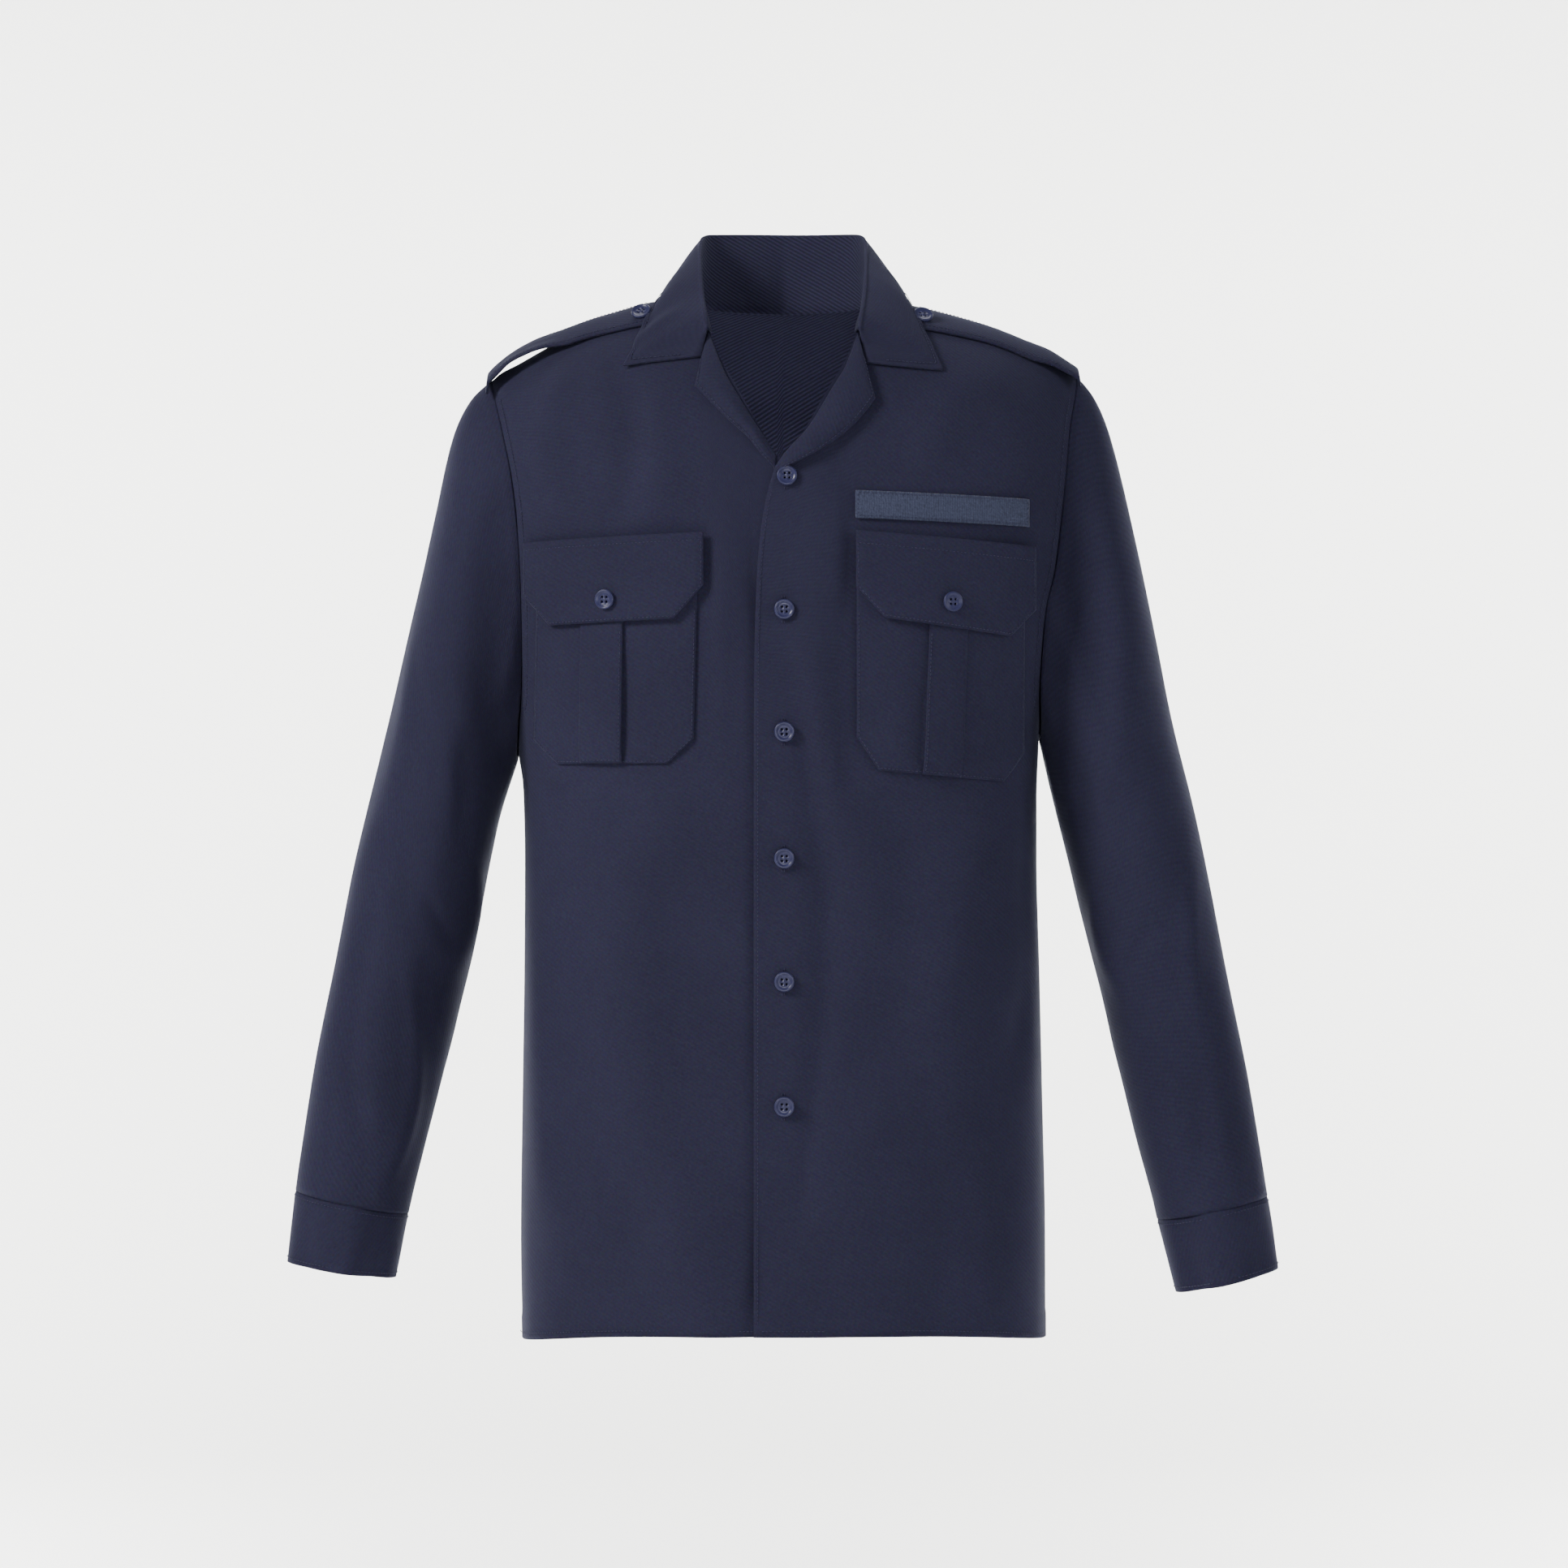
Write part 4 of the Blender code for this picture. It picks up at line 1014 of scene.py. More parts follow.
def stitch_line(point_at, start=0.0, end=1.0, lift=0.0002):
    """Places of stitches along point_at(t, out) from start to end, lying on the cloth."""
    params = [start + (end - start) * t for t in even(STITCH_SAMPLES)]
    points = np.array([point_at(t, 0.0) for t in params])
    lengths = np.insert(np.cumsum(np.linalg.norm(np.diff(points, axis=0), axis=1)), 0, 0.0)
    pitch = settings().stitch_length + settings().stitch_gap
    bare = settings().stitch_gap / pitch / 2
    count = max(1, int(lengths[-1] / pitch))
    places = []
    for k in range(count):
        t_low, t_high = np.interp([lengths[-1] * (k + bare) / count,
                                   lengths[-1] * (k + 1 - bare) / count], lengths, params)
        head, tail = point_at(t_low, lift), point_at(t_high, lift)
        middle = (t_low + t_high) / 2
        along = tail - head
        up = point_at(middle, 0.004) - point_at(middle, 0.0)
        up = unit(up - unit(along) * np.dot(up, unit(along)))
        side = np.cross(up, unit(along))
        turn = Matrix(np.array([along, side * STITCH_WIDE, up * STITCH_WIDE]).T.tolist())
        places.append(Matrix.Translation(Vector((head + tail) / 2)) @ turn.to_4x4())
    return places


def sewn(name, lines):
    """All stitches of the given lines as one piece of thread."""
    template = stitch_shape()
    joined(name, template, [place for line in lines for place in stitch_line(*line)],
           "sewing_thread")
    template.free()


# Materials


def linear(hex_colour):
    """Linear colour of an sRGB hex such as #2e3042."""
    values = [int(hex_colour[i:i + 2], 16) / 255 for i in (1, 3, 5)]
    return [v / 12.92 if v <= 0.04045 else ((v + 0.055) / 1.055) ** 2.4 for v in values]


TWILL_SLANT = 0.62      # rise of a rib for each step across
SPECK = 0.0020          # a yarn's light and dark specks, drawn coarse so that they read
SPECK_BUMP = 0.00016    # how far the light ones stand up
LOOP_PITCH = 0.0018     # between the loops of the tape; real ones are 0.8 mm


def add_node(tree, kind, traits=None, **links):
    """One shader node with its traits and what feeds its sockets, by name or by i-number."""
    node = tree.nodes.new(kind)
    for name, value in (traits or {}).items():
        setattr(node, name, value)
    for name, source in links.items():
        socket = node.inputs[int(name[1:])] if name[1:].isdigit() else node.inputs[
            name.replace("_", " ")]
        if hasattr(source, "is_output"):
            tree.links.new(source, socket)
        else:
            socket.default_value = source
    return node


def times_plus(tree, value, factor, more):
    """The socket of value * factor + more."""
    return add_node(tree, "ShaderNodeMath", {"operation": "MULTIPLY_ADD"}, i0=value,
                    i1=factor, i2=more).outputs[0]


def toned(tree, colour, tone):
    """The socket of a colour made lighter or darker by a tone."""
    return add_node(tree, "ShaderNodeVectorMath", {"operation": "SCALE"}, i0=colour,
                    Scale=tone).outputs[0]


def weave_place(tree):
    """The socket of a place on the cloth, in metres across and down."""
    return add_node(tree, "ShaderNodeUVMap", {"uv_map": "weave"}).outputs[0]


def cloud_of(tree, **kind):
    """The socket of a soft noise that lies in the object's own space."""
    place = add_node(tree, "ShaderNodeTexCoord").outputs["Object"]
    return add_node(tree, "ShaderNodeTexNoise", Vector=place, **kind).outputs[0]


def surface(tree, **finish):
    shader = add_node(tree, "ShaderNodeBsdfPrincipled", **finish)
    add_node(tree, "ShaderNodeOutputMaterial", Surface=shader.outputs[0])


def new_material(name):
    made = bpy.data.materials.new(name)
    made.use_nodes = True
    made.node_tree.nodes.clear()
    return made


def twill_material(name, rib_shade, rib_bump):
    """Cotton twill, woven and dyed: matt, its diagonal ribs and two-coloured yarn specks.

    Under them lies a broad faint cloud, as washed and pressed cloth has, and the light nap
    gives a soft violet sheen at the edges of its folds.
    """
    made = new_material(name)
    tree = made.node_tree
    colour = settings().twill_colour
    weave = weave_place(tree)
    turn = 2 * math.pi / settings().twill_pitch
    phase = add_node(tree, "ShaderNodeVectorMath", {"operation": "DOT_PRODUCT"}, i0=weave,
                     i1=(TWILL_SLANT * turn, turn, 0.0)).outputs["Value"]
    rib = add_node(tree, "ShaderNodeMath", {"operation": "SINE"}, i0=phase).outputs[0]
    specks = add_node(tree, "ShaderNodeTexNoise", Vector=weave, Scale=1 / SPECK, Detail=2.0,
                      Roughness=0.8).outputs
    cloud = cloud_of(tree, Scale=9.0, Detail=3.0, Roughness=0.55)
    dyed = add_node(tree, "ShaderNodeVectorMath", {"operation": "MULTIPLY_ADD"},
                    i0=specks[1], i1=[0.9 * c for c in colour],
                    i2=[0.55 * c for c in colour]).outputs[0]
    tone = times_plus(tree, cloud, 0.40, times_plus(tree, rib, rib_shade / 2, 0.80))
    height = times_plus(tree, rib, rib_bump / 2,
                        times_plus(tree, specks[0], SPECK_BUMP, 0.0))
    bump = add_node(tree, "ShaderNodeBump", Strength=0.8, Distance=1.0,
                    Height=height).outputs[0]
    surface(tree, Base_Color=toned(tree, dyed, tone), Roughness=0.86, Normal=bump,
            Specular_IOR_Level=0.08, Sheen_Weight=0.10, Sheen_Roughness=0.45,
            Sheen_Tint=(0.55, 0.60, 0.85, 1.0))
    return made


def loop_material():
    """Knitted nylon loop tape: rows of small loops, each painted lighter at its top as a dot, a
    painted highlight where the loops catch the light.
    """
    made = new_material("tape_loops_painted_highlights")
    tree = made.node_tree
    weave = weave_place(tree)
    loops = add_node(tree, "ShaderNodeTexVoronoi", {"feature": "F1"}, Vector=weave,
                     Scale=1 / LOOP_PITCH, Randomness=0.8).outputs["Distance"]
    wales = add_node(tree, "ShaderNodeTexWave", {"bands_direction": "X"}, Vector=weave,
                     Scale=0.32 / LOOP_PITCH, Distortion=3.0, Detail=1.0).outputs[1]
    # painted highlight and shade: each loop's colour is lighter at its middle and darker towards
    # its edge; the wales' bands are the tape's own pattern
    tone = times_plus(tree, wales, 0.22, times_plus(tree, loops, -0.50, 1.16))
    bump = add_node(tree, "ShaderNodeBump", {"invert": True}, Strength=0.9,
                    Distance=0.0008, Height=loops).outputs[0]
    surface(tree, Base_Color=toned(tree, settings().tape_colour, tone), Roughness=0.8,
            Normal=bump, Specular_IOR_Level=0.25, Sheen_Weight=0.15)
    return made


def plain_material(name, colour, roughness, specular, mottle):
    """An even finish whose colour clouds slightly, by the share `mottle`."""
    made = new_material(name)
    tree = made.node_tree
    tone = add_node(tree, "ShaderNodeMapRange", i0=cloud_of(tree, Scale=220.0, Detail=3.0),
                    i1=0.3, i2=0.7, i3=1 - mottle, i4=1 + mottle).outputs[0]
    surface(tree, Base_Color=toned(tree, colour, tone), Roughness=roughness,
            Specular_IOR_Level=specular)
    return made


# The finish of each of the frame's slots, and of what only this script draws. The button is
# a moulded polyester resin, buffed to a dull gloss; the thread is a spun polyester.
FINISHES = {
    "navy_twill": lambda: twill_material("twill_cloth", 0.06, 0.00007),
    "twill_ribs": lambda: twill_material("twill_reverse", 0.62, 0.00045),
    "sewing_thread": lambda: plain_material("spun_thread", settings().thread_colour,
                                            0.6, 0.2, 0.15),
    # painted shade: the button thread is darker than the stitches, so that the buttons' holes
    # look shaded
    "shank_thread": lambda: plain_material("button_thread_and_hole_shade", settings().shank_and_shade_colour,
                                           0.7, 0.1, 0.15),
    "loop_tape": loop_material,
    "button_plastic": lambda: plain_material("button_resin", settings().button_colour,
                                             0.30, 0.5, 0.10),
    "backdrop": lambda: plain_material("pale_paper", settings().paper_colour,
                                       0.9, 0.1, 0.005),
}


@lru_cache(maxsize=None)
def material(name):
    """The named finish, made the first time that a piece asks for it."""
    return FINISHES[name]()


# The body's creases, in metres across (the wearer's left is positive) and up: two ends, half
# width and height. The photograph shows them on the front; those of the back are like them.
FRONT_CREASES = [
    (-0.058, -0.23, -0.055, -0.76, 0.029, 0.0033),
    (-0.024, -0.20, -0.025, -0.76, 0.012, -0.0020),
    (-0.164, -0.06, -0.160, -0.17, 0.014, 0.0018),
    (-0.124, -0.05, -0.120, -0.17, 0.014, -0.0018),
    (-0.080, -0.08, -0.076, -0.26, 0.018, 0.0018),
    (-0.112, -0.38, -0.118, -0.74, 0.026, -0.0016),
    (-0.165, -0.42, -0.160, -0.70, 0.020, 0.0012),
    (-0.184, -0.30, -0.166, -0.42, 0.014, -0.0018),
    (0.018, -0.20, 0.018, -0.50, 0.022, -0.0007),
    (0.050, -0.16, 0.054, -0.44, 0.026, 0.0018),
    (0.085, -0.38, 0.070, -0.56, 0.022, -0.0016),
    (0.148, -0.40, 0.138, -0.62, 0.030, 0.0026),
    (0.183, -0.42, 0.172, -0.56, 0.014, -0.0018),
    (0.060, -0.60, 0.064, -0.76, 0.022, 0.0016),
    (0.110, -0.62, 0.114, -0.76, 0.020, -0.0012),
    (0.150, -0.06, 0.105, -0.13, 0.020, 0.0014),
    (0.190, -0.17, 0.178, -0.26, 0.010, -0.0014),
]
BACK_CREASES = [
    (-0.090, -0.16, -0.080, -0.60, 0.024, 0.0024),
    (-0.040, -0.20, -0.050, -0.74, 0.018, -0.0018),
    (0.020, -0.14, 0.010, -0.52, 0.022, 0.0014),
    (0.075, -0.20, 0.090, -0.66, 0.020, -0.0022),
    (0.130, -0.12, 0.120, -0.44, 0.022, 0.0022),
    (-0.150, -0.32, -0.120, -0.48, 0.016, -0.0020),
    (0.165, -0.34, 0.100, -0.46, 0.018, 0.0018),
    (-0.140, -0.55, -0.150, -0.75, 0.026, 0.0018),
    (0.045, -0.60, 0.055, -0.76, 0.024, 0.0016),
    (-0.020, -0.06, -0.110, -0.12, 0.016, 0.0014),
]

# A sleeve's creases: turn round the arm (0 outside, 0.25 front, 0.5 under, 0.75 back) and
# share of the way down; half width and height as above, on a cloth 0.45 m round, 0.62 m long
SLEEVE_ROUND = 0.40
SLEEVE_LENGTH = 0.62
SLEEVE_CREASES = {
    "right": [
        (0.40, 0.05, 0.33, 0.30, 0.016, -0.0026),
        (0.32, 0.02, 0.27, 0.22, 0.014, 0.0022),
        (0.44, 0.30, 0.36, 0.52, 0.016, 0.0022),
        (0.36, 0.46, 0.22, 0.56, 0.014, -0.0020),
        (0.18, 0.60, 0.26, 0.90, 0.015, -0.0024),
        (0.30, 0.62, 0.34, 0.96, 0.013, 0.0024),
        (0.10, 0.30, 0.08, 0.62, 0.018, 0.0018),
        (0.62, 0.10, 0.70, 0.36, 0.018, -0.0026),
        (0.74, 0.40, 0.60, 0.54, 0.014, 0.0024),
        (0.82, 0.56, 0.76, 0.90, 0.016, -0.0020),
        (0.92, 0.16, 0.88, 0.44, 0.018, 0.0018),
    ],
    "left": [
        (0.42, 0.04, 0.36, 0.26, 0.016, -0.0026),
        (0.30, 0.10, 0.26, 0.34, 0.015, 0.0020),
        (0.40, 0.36, 0.34, 0.60, 0.014, 0.0024),
        (0.34, 0.54, 0.20, 0.60, 0.013, -0.0018),
        (0.24, 0.66, 0.30, 0.96, 0.014, -0.0026),
        (0.14, 0.58, 0.18, 0.94, 0.015, 0.0020),
        (0.60, 0.08, 0.66, 0.30, 0.018, -0.0024),
        (0.70, 0.44, 0.58, 0.56, 0.014, 0.0024),
        (0.80, 0.60, 0.74, 0.94, 0.016, -0.0022),
        (0.90, 0.20, 0.86, 0.50, 0.018, 0.0018),
    ],
}

SLEEVE_SHARE = 0.59     # of the body's crease depth
SLEEVE_PLEATS = (0.60, 0.66)    # small pleats that gather the sleeve into its cuff, by turn
PLEAT_DEEP = 0.0022
PLEAT_TURN = 0.012      # half width, as a share of a turn
SLEEVE_WAVES = 0.0010   # height of the cloth's slight unevenness
SLEEVE_CALM = 0.020     # creases fade over this beside the armhole and the cuff
SLEEVE_SEAM = 0.008
CUFF_DENTS = ((0.36, 0.045, 0.0042), (0.27, 0.040, -0.0020),
              (0.14, 0.050, 0.0026), (0.78, 0.050, 0.0030))     # turn, half width, depth
CUFF_MIDDLE = (0.325, -0.032)   # x and y, from which a cuff's outer face looks away
SEAM_PULL = 0.0007      # how far cloth dips beside a seam, and how wide the dip is
SEAM_WIDE = 0.010
HEM_WIDE = 0.016        # turned-up hem, a second layer that ends in a small step
HEM_STEP = 0.0005
HEM_FADE = 0.003
BODY_WAVES = dict(high=0.0009, grain=0.045, front=3.1, back=7.9)
CALM_BY_SEAM = 0.022    # creases fade over this before a side seam
CALM_BY_SHOULDER = 0.03
CHEST_MARGIN = 0.016    # round what is sewn on the chest, creases fade over this
CHEST_FADE = 0.014
SEWN_FLAT = 0.95        # share of the creases' depth that sewn-on pieces press flat
NECK_CALM = dict(x=0.035, z=-0.075, round=0.075)
PLACKET_SHARE = 0.35    # of the crease depth along the left front's edge, which grows to
PLACKET_FLAT = (0.012, 0.042)   # whole between these distances from it
PLACKET_DIP = 0.0006    # troughs are no deeper there, so that the under front stays covered,
OPEN_DIP = 0.0056       # and no deeper than this from the second distance on
COVERED = (0.026, 0.056)
DIP_EASE = 0.0007       # rounds off where a trough meets that limit
POCKET_BELOW = 0.022    # creases are whole again this far below a pocket, over
POCKET_FADE = 0.016
UNDERLAP_FROM = -0.024
UNDERLAP_DIP = 0.0004


def body_relief(face):
    creases = FRONT_CREASES if face == "front" else BACK_CREASES
    depth = settings().crease_depth

    def relief(column, row, point):
        x, _, z = point
        side = side_of(x)
        near_seam = side_edge(side, z) - abs(x)
        high = depth * crease_relief(creases, x, z)
        high += BODY_WAVES["high"] * waves(x, z, BODY_WAVES["grain"], BODY_WAVES[face])
        high *= smooth_step(near_seam / CALM_BY_SEAM)
        high *= smooth_step((shoulder_height(side, x) - z) / CALM_BY_SHOULDER)
        high -= SEAM_PULL * (1 - smooth_step(near_seam / SEAM_WIDE))
        hem = z - hem_height(face, x)
        return high + HEM_STEP * (1 - smooth_step((hem - HEM_WIDE) / HEM_FADE))

    return relief


def soft_plus(value, ease):
    """The value where it is above nothing, with its corner rounded over `ease`."""
    return 0.5 * (value + math.sqrt(value * value + 4 * ease * ease)) - 0.5 * ease


def front_relief(side):
    """The body's relief, kept flat under what is sewn on the chest and at the front edge."""
    whole = body_relief("front")
    size = CHEST[side]
    top = NAME_TAPE["top"] if side == "left" else size["flap_top"]

    def relief(column, row, point):
        x, _, z = point
        inside = smooth_step((abs(x) - size["flap_in"] + CHEST_MARGIN) / CHEST_FADE)
        inside *= smooth_step((size["flap_out"] + CHEST_MARGIN - abs(x)) / CHEST_FADE)
        inside *= smooth_step((top + CHEST_MARGIN - z) / CHEST_FADE)
        inside *= smooth_step((z - size["pocket_end"] + POCKET_BELOW) / POCKET_FADE)
        near_neck = 1 - math.hypot(abs(x) - NECK_CALM["x"],
                                   z - NECK_CALM["z"]) / NECK_CALM["round"]
        high = whole(column, row, point) * (1 - SEWN_FLAT * inside)
        high *= 1 - smooth_step(2 * max(0.0, near_neck))
        if side == "left":
            edge = x - front_edge(side, z)
            share = PLACKET_SHARE + (1 - PLACKET_SHARE) * between(edge, *PLACKET_FLAT)
            least = -PLACKET_DIP - (OPEN_DIP - PLACKET_DIP) * between(edge, *COVERED)
            return least + soft_plus(high * share - least, DIP_EASE)
        return min(high, 0.0) - UNDERLAP_DIP if x > UNDERLAP_FROM else high

    return relief


def panel_grid(column_marks, columns, rows_low, rows_high):
    """Grid lines of a body panel that meet its corners; rows run from hem to shoulder."""
    across = []
    for (low, high), count in zip(zip(column_marks, column_marks[1:]), columns):
        across += [low + (high - low) * t for t in even(count)[:-1]]
    across.append(column_marks[-1])
    rows = [t - 1 for t in even(rows_low)]
    rows += [0.5 - 0.5 * math.cos(math.pi * t) for t in even(rows_high)[1:]]
    return across, rows


def make_fronts():
    for side in SIDES:
        start = partial(front_edge, side)
        lift = overlap_lift if side == "left" else (lambda x: 0.0)
        marks = (0.0, neck_column(side, start), 1.0)
        dressed("front_" + side, *panel_grid(marks, (22, 40), 120, 96),
                panel("front", side, start, lift), lambda p: (p[0] * 0.5, -1.0, 0.0),
                settings().cloth_thickness, front_relief(side), lined=True,
                flat=(0.30, 0.80), area=0.202, rests_on=["back"])


def make_back():
    halves = {side: panel("back", side, lambda z: 0.0, lambda x: 0.0) for side in SIDES}
    marks = (0.0, neck_column("left", lambda z: 0.0), 1.0)
    across, rows = panel_grid(marks, (14, 40), 110, 84)

    def place(column, row):
        return halves["right" if column < 0 else "left"](abs(column), row)

    dressed("back", [-column for column in reversed(across)] + across[1:], rows, place,
            lambda p: (p[0] * 0.5, 1.0, 0.0), settings().cloth_thickness,
            body_relief("back"), lined=True, flat=(0.56, 0.80), area=0.400,
            rests_on=["collar"])


def sleeve_relief(side):
    creases = [(a0 * SLEEVE_ROUND, b0 * SLEEVE_LENGTH, a1 * SLEEVE_ROUND,
                b1 * SLEEVE_LENGTH, wide, rise)
               for a0, b0, a1, b1, wide, rise in SLEEVE_CREASES[side]]
    depth = SLEEVE_SHARE * settings().crease_depth
    seed = Vector((0, 0, 5.0 * sign_of(side)))

    def relief(turn, down, point):
        a, b = turn * SLEEVE_ROUND, down * SLEEVE_LENGTH
        high = depth * crease_relief(creases, a, b)
        around = Vector((math.cos(2 * math.pi * turn), math.sin(2 * math.pi * turn), b * 7))
        high += SLEEVE_WAVES * noise.noise(around * 1.6 + seed)
        pleats = sum(hump(turn, at, PLEAT_TURN) for at in SLEEVE_PLEATS)
        high -= PLEAT_DEEP * pleats * between(down, 0.80, 1.0)
        high *= smooth_step(b / SLEEVE_CALM) * smooth_step((SLEEVE_LENGTH - b) / SLEEVE_CALM)
        return high - SEAM_PULL * (1 - smooth_step(b / SLEEVE_SEAM))

    return relief


def cuff_relief(side):
    def relief(turn, down, point):
        high = 0.0006 * waves(turn * 3, down, 0.3, 11.0 * sign_of(side))
        for at, wide, deep in CUFF_DENTS:
            high -= deep * hump(turn, at, wide) * (0.35 + 0.65 * down)
        return high - SEAM_PULL * (1 - smooth_step(down / 0.06))

    return relief


def make_sleeves():
    for side in SIDES:
        def sleeve_place(turn, down):
            return mirrored(side, sleeve_point(side, turn, down))

        def sleeve_outward(p):
            middle = 0.235 + 0.085 * limited((-p[2] - 0.2) / 0.48)
            return (p[0] - sign_of(side) * middle, p[1], 0.0)

        def cuff_place(turn, down):
            return mirrored(side, cuff_point(side, turn, down))

        def cuff_outward(p):
            return (p[0] - sign_of(side) * CUFF_MIDDLE[0], p[1] - CUFF_MIDDLE[1], 0.0)

        dressed("sleeve_" + side, even(112), [t ** 1.15 for t in even(150)], sleeve_place,
                sleeve_outward, settings().cloth_thickness, sleeve_relief(side), closed=True,
                flat=(0.46, 0.62), area=0.184, rests_on=["back"])
        dressed("cuff_" + side, even(96), even(26), cuff_place, cuff_outward,
                settings().trim_thickness, cuff_relief(side), closed=True, turn_weave=True,
                flat=(0.245, 0.060), rests_on=["sleeve_" + side])


COLLAR_TUCK = -0.05     # the stand's seam edge, turned down inside the neck
STAND_ROWS = 12
COLLAR_LINES = ([COLLAR_TUCK] + [FOLD_START * t for t in even(STAND_ROWS)] +
                [FOLD_START + (FOLD_END - FOLD_START) * t for t in even(8)[1:]] +
                [FOLD_END + (1 - FOLD_END) * t for t in even(24)[1:]])
EDGE_STITCH = 0.05      # share of the leaf between its edge and the row of stitches


def collar_relief(run, line, point):
    share = 1 - abs(run)
    high = 0.0006 * waves(run * 0.8, line * 0.3, 0.14, 21.0)
    if run <= 0:
        high += 0.0016 * hump(share, 0.22, 0.030) * smooth_step((line - 0.55) / 0.2)
    high += 0.0010 * hump(line, 0.012, 0.014) * smooth_step(share / 0.2)
    edge = min(1 - line, share) if line > FOLD_END else 1.0
    return high * smooth_step(edge / 0.05) - 0.0004 * hump(1 - line, EDGE_STITCH, 0.02)


def make_collar():
    def place(run, line):
        return collar_point("left" if run > 0 else "right", round(1 - abs(run), 9), line)

    shares = even(72)
    dressed("collar", [-share for share in reversed(shares)] + shares[1:], COLLAR_LINES,
            place, lambda p: (0.0, 0.0, 1.0), settings().trim_thickness, collar_relief,
            ribbed_rows=STAND_ROWS + 1, flat=(0.46, 0.115), area=0.042, held="folded",
            rests_on=["back"])


LAPEL_CUT = {"right": 0.0021, "left": 0.0028}    # square metres of cloth
LAPEL_WALL = 0.0014


def make_lapels():
    def relief(across, run, point):
        return 0.0004 * waves(across * 0.1, run * 0.15, 0.03, 31.0) if across > 0 else 0.0

    across = [-1.0, -0.8, -0.6, -0.4, -0.2] + even(24)
    for side in SIDES:
        dressed("lapel_" + side, across, two_parts(LAPEL_CORNER, 18, 42),
                partial(lapel_point, side), lambda p: (0.0, -1.0, 0.0), LAPEL_WALL, relief,
                flat=(0.042, 0.120), area=LAPEL_CUT[side], held="folded",
                rests_on=["front_" + side])


def two_parts(turn, before, after):
    """Grid lines from 0 to 1 with one at `turn`, so that a corner gets its own row."""
    return [turn * t for t in even(before)] + [turn + (1 - turn) * t
                                               for t in even(after)[1:]]


def cut_size(side, patch):
    """Width and height of a chest piece's cut, measured along the chest that it lies on."""
    sizes = []
    for across, down in ((1, 0), (0, 1)):
        points = [patch_point(side, patch, t if across else 0.5, t if down else 0.0)
                  for t in even(24)]
        sizes.append(sum(math.dist(a, b) for a, b in zip(points, points[1:])))
    return sizes


def flat_piece(node, side, patch, across, rows, wall, relief, held_on, corners=0.0,
               slot="navy_twill"):
    """A piece sewn flat on the chest; its cut, less the share that its corners lose, is worked
    out but not used.
    """
    wide, high = cut_size(side, patch)
    dressed(node, across, rows, partial(patch_point, side, patch),
            lambda p: (0.0, -1.0, 0.0), wall, relief, slot=slot, outside=True,
            flat=(wide, high), area=wide * high * (1 - corners), held="laid",
            rests_on=[held_on])


def make_chest():
    for side in SIDES:
        pocket, pleat, flap = pocket_frame(side), pleat_frame(side), flap_frame(side)
        under = "pocket_" + side
        flat_piece(under, side, pocket, even(60), two_parts(corner_row(pocket), 60, 12),
                   POCKET_WALL, pocket_relief(side), "front_" + side, corners=0.02)
        flat_piece("pleat_" + side, side, pleat, even(24), even(60), PLEAT_WALL,
                   pleat_relief(side), under)
        flat_piece("flap_" + side, side, flap, even(72),
                   two_parts(corner_row(flap), 24, 16), FLAP_WALL, flap_relief(side), under,
                   corners=0.06)
    flat_piece("name_tape", "left", tape_frame(), even(120), even(24),
               TAPE_WALL * TAPE_SHARE, tape_relief, "front_left", slot="loop_tape")


def corner_row(patch):
    """Share down a patch at which its lower corners begin to be cut."""
    return 1 - patch.clip[1] / patch.high


def make_epaulettes():
    def relief(across, along, point):
        inner = min(across, 1 - across)
        return 0.0005 * smooth_step(inner / 0.10) + 0.0003 * waves(
            across * 0.05, along * 0.14, 0.03, 71.0)

    for side in SIDES:
        dressed("epaulette_" + side, even(26), even(70) + [STRAP_TUCK],
                partial(strap_point, side), lambda p: (0.0, 0.0, 1.0), STRAP_WALL * 0.9,
                relief, outside=True, turn_weave=True, flat=(0.055, 0.160), area=0.0080,
                held="laid", rests_on=["front_" + side, "back"])


# Buttons: a rim round a sunken middle with four holes, and the thread through them

BUTTON_RINGS = ((0.54, 0.74), (0.60, 0.75), (0.68, 0.80), (0.75, 0.92), (0.82, 0.99),
                (0.90, 1.00), (0.96, 0.92), (1.00, 0.74), (0.99, 0.46), (0.92, 0.18),
                (0.80, 0.03), (0.54, 0.00))
BUTTON_FLOOR = 0.74     # height of the sunken middle, as a share of the thickness
HOLE_PLACE = 0.235      # of the radius, across and up
HOLE_RADIUS = 0.125
SHANK_ENDS = (-0.0009, 0.0011)      # heights: in the cloth, and inside the button
SHANK_FOOT, SHANK_HEAD = 0.0024, 0.0028     # radii
BUTTON_GAP = dict(front=0.0006, flap=0.0002, epaulette=0.0014)      # over the cloth under it


